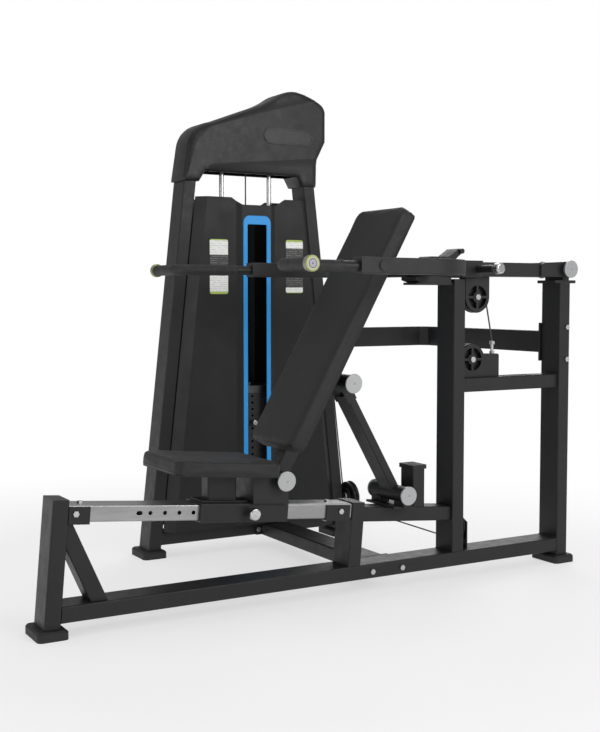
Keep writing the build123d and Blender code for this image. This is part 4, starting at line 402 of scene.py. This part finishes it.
def pale_floor(center, near, far):
    """Pale studio floor, faintly mottled, that brightens to plain white between two distances from center."""
    g = Graph("pale_floor")
    color = g.mix(g.noise(3.0, 5.0), (0.86, 0.86, 0.86), (0.90, 0.90, 0.90))
    away = g.add("ShaderNodeVectorMath", operation="DISTANCE")
    g.link(g.place, away.inputs[0])
    away.inputs[1].default_value = center
    glow = g.remap(away.outputs["Value"], near, far, 0.58, 1.0)
    color = g.mix(glow, color, (0.0, 0.0, 0.0))
    shine = g.math("SUBTRACT", 0.3, g.math("MULTIPLY", glow, 0.3))
    normal = g.bump(g.noise(300.0), 0.03, 0.2 * MM)
    return g.finish(color, 0.8, normal, Emission_Color=(1.0, 1.0, 1.0, 1.0), Emission_Strength=glow,
                    Specular_IOR_Level=shine)


joint_of = {joint["name"]: joint for joint in frame["joints"]}
rail_axis = Vector(joint_of["carriage_slide"]["axis"]).normalized()

COAT = powder_coat()
SHEET = satin_sheet()
COWL = moulded_plastic("cowl_plastic", (0.0090, 0.0090, 0.0095), (0.0120, 0.0120, 0.0125), 0.40, 1600.0, 0.18)
BADGE = moulded_plastic("badge_plastic", (0.018, 0.018, 0.019), (0.026, 0.026, 0.027), 0.35)
BLUE = moulded_plastic("trim_plastic", (0.022, 0.300, 0.74), (0.030, 0.330, 0.80), 0.38, 1200.0, 0.08)
NYLON = moulded_plastic("pulley_nylon", (0.006, 0.006, 0.0065), (0.011, 0.011, 0.0115), 0.36)
BOARD = moulded_plastic("pad_board", (0.008, 0.008, 0.0085), (0.012, 0.012, 0.0125), 0.55)
RUBBER = rubber()
LEATHER = leather()
THREAD = thread()
GRIP = grip_rubber()
RAIL = plated_rail()
CHROME = polished("polished_steel", (0.55, 0.55, 0.56), 0.16)
ZINC = polished("zinc_plate", (0.55, 0.55, 0.56), 0.30)
STEM = polished("stem_steel", (0.10, 0.10, 0.105), 0.38)
IRON = weight_paint()
JACKET = cable_jacket()
PLACARD = placard()


def pin_in(joint):
    """Where a hinge turns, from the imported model."""
    return Vector(joint_of[joint]["pos_m"])


def middle(node):
    """Centre of a node's box."""
    low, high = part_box(node)
    return (Vector(low) + Vector(high)) / 2


FINISH = {
    RAIL: ["seat_rail"],
    RUBBER: ["foot_pads", "rubber_stops"],
    SHEET: ["front_shroud", "rear_shroud"],
    BLUE: ["slot_trim"],
    BADGE: ["cowl_badge"],
    PLACARD: ["instruction_plates"],
    NYLON: [name for name in NODES if "pulley" in name and "bracket" not in name],
    IRON: ["weight_plates_lower", "weight_plates_lifted"],
    STEM: ["selector_stem"],
    CHROME: ["guide_rods", "selector_pin", "carriage_pin", "arm_pin"],
    ZINC: ["frame_bolts"],
    JACKET: ["cable_fixed_run", "cable_arm_loop"],
    turned_metal("turned_link_low", pin_in("link_hinge")): ["link_pivot_shaft"],
    turned_metal("turned_link_top", middle("link_top_shafts")): ["link_top_shafts"],
    turned_metal("turned_carriage", pin_in("backrest_hinge")): ["carriage_pivot_shaft"],
    turned_metal("turned_arm", pin_in("press_hinge")): ["arm_shafts"],
    ringed_metal("ringed_grip_end", middle("grip_end_caps")): ["grip_end_caps"],
}
finished = {name: material for material, names in FINISH.items() for name in names}
for name, node in NODES.items():
    node.data.materials.clear()
    node.data.materials.append(finished.get(name, COAT))


# ---------------------------------------------------------------- mesh helpers


def add_mesh(name, vertices, faces, material, smooth=True):
    """A new object from plain lists, with its normals made consistent."""
    mesh = bpy.data.meshes.new(name)
    mesh.from_pydata([tuple(v) for v in vertices], [], faces)
    shape = bmesh.new()
    shape.from_mesh(mesh)
    bmesh.ops.recalc_face_normals(shape, faces=shape.faces)
    shape.to_mesh(mesh)
    shape.free()
    piece = bpy.data.objects.new(name, mesh)
    bpy.context.scene.collection.objects.link(piece)
    mesh.materials.append(material)
    if smooth:
        mesh.polygons.foreach_set("use_smooth", [True] * len(mesh.polygons))
    return piece


def add_modifier(piece, kind, **settings):
    modifier = piece.modifiers.new(kind.lower(), kind)
    for key, value in settings.items():
        setattr(modifier, key, value)
    return modifier


def apply_modifiers(piece):
    """Turns the piece's modifiers into plain mesh."""
    bpy.context.view_layer.update()
    evaluated = piece.evaluated_get(bpy.context.evaluated_depsgraph_get())
    mesh = bpy.data.meshes.new_from_object(evaluated)
    piece.modifiers.clear()
    piece.data = mesh


def sweep(name, path, radius, material, sides=16, closed=False):
    """Tube along a list of points; radius is a number or a function of the distance along the path."""
    count = len(path)
    side = None
    travelled = 0.0
    vertices = []
    for i, point in enumerate(path):
        ahead = path[(i + 1) % count] if closed or i < count - 1 else point
        behind = path[i - 1] if closed or i > 0 else point
        along = (ahead - behind).normalized()
        if side is None:
            side = along.orthogonal()
        side = (side - along * side.dot(along)).normalized()
        other = along.cross(side)
        if i > 0:
            travelled += (point - path[i - 1]).length
        r = radius(travelled) if callable(radius) else radius
        for k in range(sides):
            angle = math.tau * k / sides
            vertices.append(point + side * (r * math.cos(angle)) + other * (r * math.sin(angle)))
    faces = []
    for i in range(count if closed else count - 1):
        here, there = i * sides, (i + 1) % count * sides
        for k in range(sides):
            n = (k + 1) % sides
            faces.append((here + k, here + n, there + n, there + k))
    if not closed:
        faces.append(tuple(range(sides)))
        faces.append(tuple(range((count - 1) * sides, count * sides)))
    return add_mesh(name, vertices, faces, material)


def arc(center, start, end, steps):
    """Points on the short arc about center from start to end."""
    a, b = start - center, end - center
    normal = a.cross(b).normalized()
    total = a.angle(b)
    return [center + Matrix.Rotation(total * i / steps, 3, normal) @ a for i in range(steps + 1)]


# ---------------------------------------------------------------- cushions


def pad_axes(node, facing):
    """Outward, lengthwise and sideways axes, centre and half sizes of a flat pad, by its biggest face."""
    mesh = NODES[node].data
    areas = {}
    for face in mesh.polygons:
        key = tuple(round(c, 2) for c in face.normal)
        areas[key] = areas.get(key, 0.0) + face.area
    out = Vector(max(areas, key=areas.get)).normalized()
    if out.dot(facing) < 0:
        out.negate()
    across = Vector((0, 1, 0))
    along = across.cross(out).normalized()
    spans = []
    for axis in (along, across, out):
        reach = [axis.dot(v.co) for v in mesh.vertices]
        spans.append((min(reach), max(reach)))
    origin = sum((axis * (a + b) / 2 for axis, (a, b) in zip((along, across, out), spans)), Vector())
    return out, along, across, origin, [(b - a) / 2 for a, b in spans]


def rounded_outline(half_x, half_y, radius, steps=10):
    """Closed outline of a rounded rectangle, anticlockwise, as (x, y) points."""
    points = []
    for sx, sy, start in ((1, 1, 0), (-1, 1, 90), (-1, -1, 180), (1, -1, 270)):
        for i in range(steps + 1):
            angle = math.radians(start + 90 * i / steps)
            x = sx * (half_x - radius) + radius * math.cos(angle)
            y = sy * (half_y - radius) + radius * math.sin(angle)
            points.append((x, y))
    return points


def loft_outline(name, rings, to_world, material):
    """Closed form through stacked rounded outlines; rings are (half_x, half_y, radius, height)."""
    vertices = []
    for half_x, half_y, radius, height in rings:
        vertices += [to_world @ Vector((x, y, height)) for x, y in rounded_outline(half_x, half_y, radius)]
    count = len(vertices) // len(rings)
    faces = [tuple(range(count)), tuple(range(len(vertices) - count, len(vertices)))]
    for i in range(len(rings) - 1):
        for k in range(count):
            n = (k + 1) % count
            faces.append((i * count + k, i * count + n, (i + 1) * count + n, (i + 1) * count + k))
    return add_mesh(name, vertices, faces, material)


def inflate(piece, cap, flat_below, to_world, frames=20):
    """Cloth simulation with pressure: the form swells by up to cap, and stays put below a height."""
    add_modifier(piece, "REMESH", mode="VOXEL", voxel_size=5.5 * MM, use_smooth_shade=True)
    apply_modifiers(piece)
    start = [v.co.copy() for v in piece.data.vertices]
    to_local = to_world.inverted()
    group = piece.vertex_groups.new(name="held")
    held = [v.index for v in piece.data.vertices if (to_local @ v.co).z < flat_below]
    group.add(held, 1.0, "REPLACE")
    cloth = add_modifier(piece, "CLOTH")
    cloth.settings.quality = 5
    cloth.settings.mass = 0.3
    cloth.settings.use_pressure = True
    cloth.settings.uniform_pressure_force = 2.5
    cloth.settings.tension_stiffness = 40.0
    cloth.settings.compression_stiffness = 40.0
    cloth.settings.bending_stiffness = 4.0
    cloth.settings.vertex_group_mass = "held"
    cloth.settings.effector_weights.gravity = 0.0
    cloth.point_cache.frame_start = 1
    cloth.point_cache.frame_end = frames
    scene = bpy.context.scene
    for step in range(1, frames + 1):
        scene.frame_set(step)
    apply_modifiers(piece)
    scene.frame_set(1)
    for v, home in zip(piece.data.vertices, start):
        moved = v.co - home
        if moved.length > cap:
            v.co = home + moved * (cap / moved.length)
    return to_local


STITCH_PITCH = 7.0 * MM
STITCH_SIDES = 6
# One stitch from end to end: place along the pitch, height over the leather, thickness.
STITCH_RINGS = ((-0.36, -0.5 * MM, 0.4 * MM), (-0.2, 0.25 * MM, 0.75 * MM), (0.2, 0.25 * MM, 0.75 * MM),
                (0.36, -0.5 * MM, 0.4 * MM))


def stitches(name, outline, height, to_world, body):
    """A row of thread stitches round an outline: short rods that dip at both ends."""
    vertices, faces = [], []
    loop = [Vector((x, y, 0)) for x, y in outline]
    lengths = [(loop[(i + 1) % len(loop)] - p).length for i, p in enumerate(loop)]
    total = sum(lengths)
    count = int(total / STITCH_PITCH)

    def at(distance):
        """Point and direction of the loop at a distance along it."""
        distance %= total
        for i, length in enumerate(lengths):
            if distance <= length or i == len(lengths) - 1:
                a, b = loop[i], loop[(i + 1) % len(loop)]
                return a.lerp(b, min(1.0, distance / max(length, 1e-9))), (b - a).normalized()
            distance -= length

    for n in range(count):
        base = len(vertices)
        for shift, lift, thick in STITCH_RINGS:
            point, along = at((n + 0.5 + shift) * total / count)
            outward = Vector((along.y, -along.x, 0))
            center = point + outward * lift + Vector((0, 0, height))
            for j in range(STITCH_SIDES):
                angle = math.tau * j / STITCH_SIDES
                offset = outward * (thick * math.cos(angle)) + Vector((0, 0, thick * math.sin(angle)))
                vertices.append(to_world @ (center + offset))
        last = len(vertices) - STITCH_SIDES
        for start in range(base, last, STITCH_SIDES):
            for j in range(STITCH_SIDES):
                m = (j + 1) % STITCH_SIDES
                there = start + STITCH_SIDES
                faces.append((start + j, start + m, there + m, there + j))
        faces.append(tuple(range(base, base + STITCH_SIDES)))
        faces.append(tuple(range(last, last + STITCH_SIDES)))
    row = add_mesh(name, vertices, faces, THREAD)
    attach(row, body)


BOARD_THICK = 4.0 * MM
BOARD_INSET = 6.0 * MM
SKIN_INSET = 3.0 * MM  # room for the cushion to swell in
SWELL = 2.0 * MM
FOLD = 3.0 * MM  # where the leather turns in under the cushion
SEAM = 0.3  # height of the sewn seam, as a share of the cushion's side
SEAM_DEPTH = 0.9 * MM
SEAM_REACH = 2.4 * MM  # how far above and below the seam the leather is drawn in
STITCH_DROP = 4.5 * MM  # stitches run this far below the seam


def cushion(node, body, facing, corner, edge, crown):
    """Board and leather cushion in a CAD pad's place: tight flat sides, rounded edges and a sewn seam."""
    out, along, across, origin, (half_x, half_y, half_z) = pad_axes(node, facing)
    to_world = Matrix((along, across, out)).transposed().to_4x4()
    to_world.translation = origin
    board_size = half_x - BOARD_INSET, half_y - BOARD_INSET, corner - BOARD_INSET
    board_rings = [(*board_size, -half_z), (*board_size, -half_z + BOARD_THICK)]
    board = loft_outline(node + "_board", board_rings, to_world, BOARD)
    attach(board, body)
    low = -half_z + 0.5 * MM
    high = half_z - crown - SWELL
    side_x, side_y = half_x - SKIN_INSET, half_y - SKIN_INSET
    rings = [(side_x - FOLD, side_y - FOLD, corner - FOLD, low), (side_x, side_y, corner, low + FOLD)]
    edge_steps = 6
    for i in range(edge_steps + 1):
        angle = math.radians(90 * i / edge_steps)
        inset = edge * (1 - math.cos(angle))
        height = high - edge + edge * math.sin(angle)
        rings.append((side_x - inset, side_y - inset, max(corner - inset, 6 * MM), height))
    pad = loft_outline(node + "_cushion", rings, to_world, LEATHER)
    to_local = inflate(pad, SWELL, low + FOLD, to_world)
    add_modifier(pad, "SMOOTH", factor=0.5, iterations=6)
    apply_modifiers(pad)
    seam = low + (high - low) * SEAM
    for v in pad.data.vertices:
        p = to_local @ v.co
        share_x, share_y = abs(p.x) / half_x, abs(p.y) / half_y
        if half_x - abs(p.x) < edge or half_y - abs(p.y) < edge:
            pull = SEAM_DEPTH * math.exp(-((p.z - seam) / SEAM_REACH) ** 2)
            axis = 0 if half_x - abs(p.x) < half_y - abs(p.y) else 1
            p[axis] -= math.copysign(pull, p[axis])
        if p.z > 0:
            p.z += crown * (1 - min(1, share_x) ** 6) * (1 - min(1, share_y) ** 4)
        p.x = max(-half_x, min(half_x, p.x))
        p.y = max(-half_y, min(half_y, p.y))
        p.z = max(-half_z, min(p.z, half_z))
        v.co = to_world @ p
    add_modifier(pad, "SUBSURF", levels=1, render_levels=1)
    apply_modifiers(pad)
    pad.data.polygons.foreach_set("use_smooth", [True] * len(pad.data.polygons))
    line = []
    border = rounded_outline(half_x, half_y, corner)
    for (ax, ay), (bx, by) in zip(border, border[1:] + border[:1]):
        parts = max(1, int(math.hypot(bx - ax, by - ay) / (10 * MM)))
        for i in range(parts):
            beside = Vector((ax + (bx - ax) * i / parts, ay + (by - ay) * i / parts, seam - STITCH_DROP))
            near = to_local @ pad.closest_point_on_mesh(to_world @ beside)[1]
            line.append((near.x, near.y))
    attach(pad, body)
    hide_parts(node)
    stitches(node + "_seam", line, seam - STITCH_DROP, to_world, body)


cushion("seat_pad", "carriage", UP, 24 * MM, 7 * MM, 3 * MM)
cushion("back_pad", "backrest", Vector((-1, 0, 0.5)), 28 * MM, 8 * MM, 3 * MM)


# ---------------------------------------------------------------- hand grips


def grip_path(side):
    """Centre line of one grip, read from the CAD grips: its straight start, its bend and its outer end."""
    mesh = NODES["handle_grips"].data
    low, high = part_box("handle_grips")
    start = [v.co for v in mesh.vertices if v.co.x > high.x - 1 * MM and v.co.y * side > 0]
    center = sum(start, Vector()) / len(start)
    radius = max((v - center).length for v in start)
    front = low.x + radius
    bend = 45 * MM
    center.x = high.x
    corner_in = Vector((front + bend, center.y, center.z))
    corner_out = Vector((front, center.y + side * bend, center.z))
    hub = Vector((front + bend, center.y + side * bend, center.z))
    end = Vector((front, side * high.y, center.z))
    steps = 24
    path = [center.lerp(corner_in, i / steps) for i in range(steps)]
    path += arc(hub, corner_in, corner_out, 16)
    path += [corner_out.lerp(end, (i + 1) / (2 * steps)) for i in range(2 * steps)]
    return path, radius


def grip_radius(radius, length, travelled):
    """Radius of a grip at a distance along it: a lip at each end, with shallow rings pressed in beside it."""
    end = min(travelled, length - travelled)
    lip = 1.2 * MM * math.exp(-((end - 4 * MM) / (3 * MM)) ** 2)
    ring = 0.0
    if 12 * MM < end < 42 * MM:
        ring = 0.45 * MM * (0.5 - 0.5 * math.cos(math.tau * travelled / (6 * MM)))
    close = 1.6 * MM * max(0.0, 1 - end / (2 * MM)) ** 2
    return radius - 0.8 * MM + lip - ring - close


def make_grip(side, name):
    """Soft hand grip on one handle bar, its surface following the CAD grip."""
    path, radius = grip_path(side)
    dense = []
    for a, b in zip(path, path[1:]):
        parts = max(1, round((b - a).length / (1.6 * MM)))
        dense += [a.lerp(b, i / parts) for i in range(parts)]
    dense.append(path[-1])
    length = sum((b - a).length for a, b in zip(dense, dense[1:]))
    grip = sweep(name, dense, lambda travelled: grip_radius(radius, length, travelled), GRIP, sides=32)
    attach(grip, "press_arm")
    return grip


for grip in [make_grip(side, name) for side, name in ((-1, "grip_near"), (1, "grip_far"))]:
    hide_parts("handle_grips")


# ---------------------------------------------------------------- cables


def run_ends(node):
    """Both ends of a straight CAD cable, lower first: centres of its lowest and highest rings."""
    points = [v.co for v in NODES[node].data.vertices]
    points.sort(key=lambda p: p.z)
    half = len(points) // 2
    return [sum(part, Vector()) / len(part) for part in (points[:half], points[half:])]


CABLE_RADIUS = 2.75 * MM
CABLE_TUCK = 1.5 * MM  # how far each end of a run reaches into the cable it joins
CABLE_STEPS = 60


def cable_run(node):
    """Straight cable between the frame and a moving body, in place of the CAD run."""
    low, high = run_ends(node)
    tuck = (high - low).normalized() * CABLE_TUCK
    low, high = low - tuck, high + tuck
    path = [low.lerp(high, i / CABLE_STEPS) for i in range(CABLE_STEPS + 1)]
    run = sweep(node + "_jacket", path, CABLE_RADIUS, JACKET)
    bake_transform(run)
    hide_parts(node)


cable_run("cable_anchor_run")
cable_run("cable_drop_run")
cable_run("stack_cable")


# ---------------------------------------------------------------- cowl


def cowl_profile():
    """Outline of the CAD cowl's front face, as (x, z) in order round it."""
    mesh = NODES["top_cowl"].data
    front = min(v.co.y for v in mesh.vertices)
    uses = {}
    for face in mesh.polygons:
        if all(mesh.vertices[i].co.y < front + 0.01 * MM for i in face.vertices):
            keys = []
            for i in face.vertices:
                co = mesh.vertices[i].co
                keys.append((round(co.x, 5), round(co.z, 5)))
            for a, b in zip(keys, keys[1:] + keys[:1]):
                edge = tuple(sorted((a, b)))
                uses[edge] = uses.get(edge, 0) + 1
    ring = {}
    for (a, b), count in uses.items():
        if count == 1:
            ring.setdefault(a, []).append(b)
            ring.setdefault(b, []).append(a)
    start = min(ring)
    outline, previous, here = [start], None, start
    while True:
        following = [p for p in ring[here] if p != previous]
        previous, here = here, following[0]
        if here == start:
            return outline
        outline.append(here)


def signed_gap(p, corners):
    """Distance of a point from a closed outline, positive outside it."""
    gap, inside = 1e9, False
    for a, b in zip(corners, corners[1:] + corners[:1]):
        edge = b - a
        t = max(0.0, min(1.0, (p - a).dot(edge) / max(edge.length_squared, 1e-12)))
        gap = min(gap, (p - a - edge * t).length)
        if (a.y > p.y) != (b.y > p.y) and p.x < a.x + (p.y - a.y) / (b.y - a.y) * edge.x:
            inside = not inside
    return -gap if inside else gap


COWL_ROUND = 15 * MM  # radius of the cowl's outer edges
COWL_SLOPE = 0.2  # how fast the face falls back outside its raised panel
COWL_STEP = 5 * MM  # and how far in all
COWL_GRID = 14 * MM
COWL_WALL = 3.5 * MM
COWL_OPEN = 60 * MM  # level edges up to this height over the cowl's foot stay open


def subdivided(corners, spacing):
    """Points at even steps along an open line of corners, its last corner left out."""
    points = []
    for a, b in zip(corners, corners[1:]):
        parts = max(1, round((b - a).length / spacing))
        points += [a.lerp(b, i / parts) for i in range(parts)]
    return points


def cowl_creases(low, high):
    """Both creases that bound the raised panel of the face, in the face's plane, going round the panel."""
    def spots(pairs):
        return [Vector((low.x + share * (high.x - low.x), z)) for share, z in pairs]

    foot, top = low.z, high.z
    upper = spots((
        (-0.01, foot - 0.02), (0.013, foot + 0.003), (0.098, top - 0.216), (0.187, top - 0.164),
        (0.544, top - 0.095), (0.875, top - 0.038), (1.10, top)))
    lower = spots((
        (1.10, foot + 0.124), (0.944, foot + 0.114), (0.24, foot + 0.071), (0.17, foot + 0.064),
        (0.157, foot + 0.032), (0.125, foot - 0.01)))
    return upper, lower


def cowl_mesh_plan(outline, creases, low, high):
    """Points and triangles of the face: rows along its edge and creases, and a grid between them."""
    panel = creases[0] + creases[1]
    points = list(outline)
    turn = sum(a.cross(b) for a, b in zip(outline, outline[1:] + outline[:1]))
    for share in (0.06, 0.22, 0.5, 1.0):
        inset = COWL_ROUND * share
        for before, p, after in zip(outline[-1:] + outline[:-1], outline, outline[1:] + outline[:1]):
            along = (after - before).normalized()
            q = p + Vector((-along.y, along.x)) * math.copysign(inset, turn)
            if signed_gap(q, outline) < -0.8 * inset:
                points.append(q)
    fixed_edges = [(i, (i + 1) % len(outline)) for i in range(len(outline))]
    for crease in creases:
        trace = []
        for a, b in zip(crease, crease[1:]):
            across = Vector((-(b - a).y, (b - a).x)).normalized()
            trace += [(q, across) for q in subdivided([a, b], COWL_GRID)]
        trace = [(q, across) for q, across in trace if signed_gap(q, outline) < -2 * MM]
        fixed_edges += [(len(points) + i, len(points) + i + 1) for i in range(len(trace) - 1)]
        points += [q for q, _ in trace]
        for shift in (-3 * MM, 3 * MM):
            beside = [q + across * shift for q, across in trace]
            points += [q for q in beside if signed_gap(q, outline) < -COWL_ROUND]
    for i in range(int((high.x - low.x) / COWL_GRID)):
        for k in range(int((high.z - low.z) / COWL_GRID)):
            q = Vector((low.x + i * COWL_GRID, low.z + k * COWL_GRID))
            if signed_gap(q, outline) < -1.3 * COWL_ROUND and abs(signed_gap(q, panel)) > 0.5 * COWL_GRID:
                points.append(q)
    spots, _, faces, *_ = delaunay_2d_cdt(points, fixed_edges, [], 1, 1e-5)
    return spots, faces


def rounded_fall(gap):
    """How far a rounded edge has dropped at a distance inside the outline."""
    across = max(0.0, COWL_ROUND - gap)
    return COWL_ROUND - math.sqrt(COWL_ROUND ** 2 - min(across, COWL_ROUND) ** 2)


def open_edges(faces):
    """Edges that only one face uses."""
    uses = {}
    for face in faces:
        for a, b in zip(face, list(face[1:]) + [face[0]]):
            key = (min(a, b), max(a, b))
            uses[key] = uses.get(key, 0) + 1
    return [edge for edge, count in uses.items() if count == 1]


def make_cowl():
    """Moulded cowl: a raised panel between creases, rounded edges, and an open underside."""
    low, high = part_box("top_cowl")
    profile = [Vector(p) for p in cowl_profile()]
    outline = subdivided(profile + profile[:1], 0.8 * COWL_GRID)
    creases = cowl_creases(low, high)
    panel = creases[0] + creases[1]
    spots, faces = cowl_mesh_plan(outline, creases, low, high)
    shape = bmesh.new()
    front, back = [], []
    for p in spots:
        depth = rounded_fall(max(0.0, -signed_gap(p, outline)))
        step = min(COWL_STEP, max(0.0, signed_gap(p, panel)) * COWL_SLOPE)
        front.append(shape.verts.new((p.x, low.y + depth + step, p.y)))
        back.append(shape.verts.new((p.x, high.y - depth, p.y)))
    for sheet in (front, back):
        for face in faces:
            shape.faces.new([sheet[i] for i in face])
    for a, b in open_edges(faces):
        level = abs(spots[a].y - spots[b].y) < 0.1 * abs(spots[a].x - spots[b].x)
        if not (level and max(spots[a].y, spots[b].y) < low.z + COWL_OPEN):
            shape.faces.new((front[a], front[b], back[b], back[a]))
    bmesh.ops.recalc_face_normals(shape, faces=shape.faces)
    mesh = bpy.data.meshes.new("cowl_shell")
    shape.to_mesh(mesh)
    shape.free()
    cowl = bpy.data.objects.new("cowl_shell", mesh)
    bpy.context.scene.collection.objects.link(cowl)
    mesh.materials.append(COWL)
    add_modifier(cowl, "SOLIDIFY", thickness=COWL_WALL, offset=-1.0)
    apply_modifiers(cowl)
    cowl.data.polygons.foreach_set("use_smooth", [True] * len(cowl.data.polygons))
    cowl.data.set_sharp_from_angle(angle=math.radians(20))
    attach(cowl, "frame")
    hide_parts("top_cowl")


make_cowl()


# ---------------------------------------------------------------- welds


WELD_RADIUS = 2.6 * MM
WELD_STEP = 1.5 * MM
WELD_PUDDLE = 5.5 * MM


def weld(name, body, corners):
    """Weld bead round a closed loop of corners, a row of overlapping puddles."""
    loop = []
    for a, b in zip(corners, corners[1:] + corners[:1]):
        parts = max(2, round((b - a).length / WELD_STEP))
        loop += [a.lerp(b, i / parts) for i in range(parts)]
    sizes = []
    for i in range(len(loop)):
        ripple = 0.25 * math.cos(math.tau * i * WELD_STEP / WELD_PUDDLE)
        sizes.append(WELD_RADIUS * (0.75 + ripple + random.uniform(-0.06, 0.06)))
    coming = iter(sizes)
    bead = sweep(name, loop, lambda _: next(coming), COAT, sides=8, closed=True)
    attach(bead, body)


def tube_loop(low, high, axis, at, corner=3.5 * MM):
    """Outline of a tube's cross-section at a place along one axis, its corners cut across."""
    u, w = [i for i in range(3) if i != axis]
    points = []
    for du, dw, first_u in ((-1, -1, True), (1, -1, False), (1, 1, True), (-1, 1, False)):
        for cut_u in ((False, True) if first_u else (True, False)):
            p = Vector((at, at, at))
            p[u] = (high if du > 0 else low)[u] - (du * corner if cut_u else 0.0)
            p[w] = (high if dw > 0 else low)[w] - (0.0 if cut_u else dw * corner)
            points.append(p)
    return points


tube_low, tube_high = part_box("base_tube")
bar_low, bar_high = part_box("cross_bar")
post_low = Vector((bar_low.x - (tube_high.z - tube_low.z), tube_low.y, 0))
post_high = Vector((bar_low.x, tube_high.y, 0))
weld("weld_middle_post", "frame", tube_loop(post_low, post_high, 2, tube_high.z))
weld("weld_cross_front", "frame", tube_loop(bar_low, bar_high, 0, bar_low.x))
weld("weld_cross_rear", "frame", tube_loop(bar_low, bar_high, 0, bar_high.x))
weld("weld_base_rear", "frame", tube_loop(tube_low, tube_high, 0, tube_high.x))


# ---------------------------------------------------------------- stage, light and camera

FLOOR_HALF = 30.0
GLOW_NEAR = 1.3  # the floor starts to fade to white at this distance
GLOW_FAR = 2.7

corners = [(x * FLOOR_HALF, y * FLOOR_HALF, 0) for x, y in ((-1, -1), (1, -1), (1, 1), (-1, 1))]
under = ((cad_low.x + cad_high.x) / 2, (cad_low.y + cad_high.y) / 2, 0)
floor = add_mesh("floor", corners, [(0, 1, 2, 3)], pale_floor(under, GLOW_NEAR, GLOW_FAR), smooth=False)


def area_light(name, place, target, size, power):
    """Soft box lamp that faces a target."""
    lamp = bpy.data.lights.new(name, "AREA")
    lamp.shape = "RECTANGLE"
    lamp.size, lamp.size_y = size
    lamp.energy = power
    lamp_object = bpy.data.objects.new(name, lamp)
    lamp_object.location = place
    lamp_object.rotation_mode = "QUATERNION"
    lamp_object.rotation_quaternion = (Vector(target) - Vector(place)).to_track_quat("-Z", "Y")
    bpy.context.scene.collection.objects.link(lamp_object)


area_light("key", (2.6, -4.2, 2.4), (1.0, 0.2, 0.7), (3.0, 2.4), 88)
area_light("left", (-3.6, -1.2, 1.6), (1.0, 0.2, 0.7), (2.2, 2.2), 36)
area_light("top", (0.8, 0.4, 4.8), (1.0, 0.3, 0.5), (4.5, 3.5), 40)
area_light("rim", (3.8, 3.2, 2.8), (1.0, 0.2, 0.9), (2.4, 2.4), 60)

world = bpy.data.worlds.new("studio")
bpy.context.scene.world = world
world.use_nodes = True
sky = world.node_tree
fill = sky.nodes["Background"]
seen = sky.nodes.new("ShaderNodeBackground")
for background, strength in ((fill, 0.42), (seen, 1.0)):
    background.inputs["Color"].default_value = (1.0, 1.0, 1.0, 1.0)
    background.inputs["Strength"].default_value = strength
choose = sky.nodes.new("ShaderNodeMixShader")
ray = sky.nodes.new("ShaderNodeLightPath")
sky.links.new(ray.outputs["Is Camera Ray"], choose.inputs[0])
sky.links.new(fill.outputs[0], choose.inputs[1])
sky.links.new(seen.outputs[0], choose.inputs[2])
sky.links.new(choose.outputs[0], sky.nodes["World Output"].inputs["Surface"])
bpy.context.scene.view_settings.view_transform = "Standard"

CAMERA_PLACE = Vector((-0.9834, -3.2260, 0.9946))
CAMERA_YAW = math.radians(30.05)
CAMERA_PITCH = math.radians(3.51)
SENSOR_WIDTH = 36.0
FOCAL_LENGTH = 56.29
lens = bpy.data.cameras.new("camera")
lens.sensor_width = SENSOR_WIDTH
lens.lens = FOCAL_LENGTH
camera = bpy.data.objects.new("camera", lens)
camera.location = CAMERA_PLACE
level = math.cos(CAMERA_PITCH)
looking = Vector((math.sin(CAMERA_YAW) * level, math.cos(CAMERA_YAW) * level, -math.sin(CAMERA_PITCH)))
camera.rotation_mode = "QUATERNION"
camera.rotation_quaternion = looking.to_track_quat("-Z", "Y")
bpy.context.scene.collection.objects.link(camera)
bpy.context.scene.camera = camera
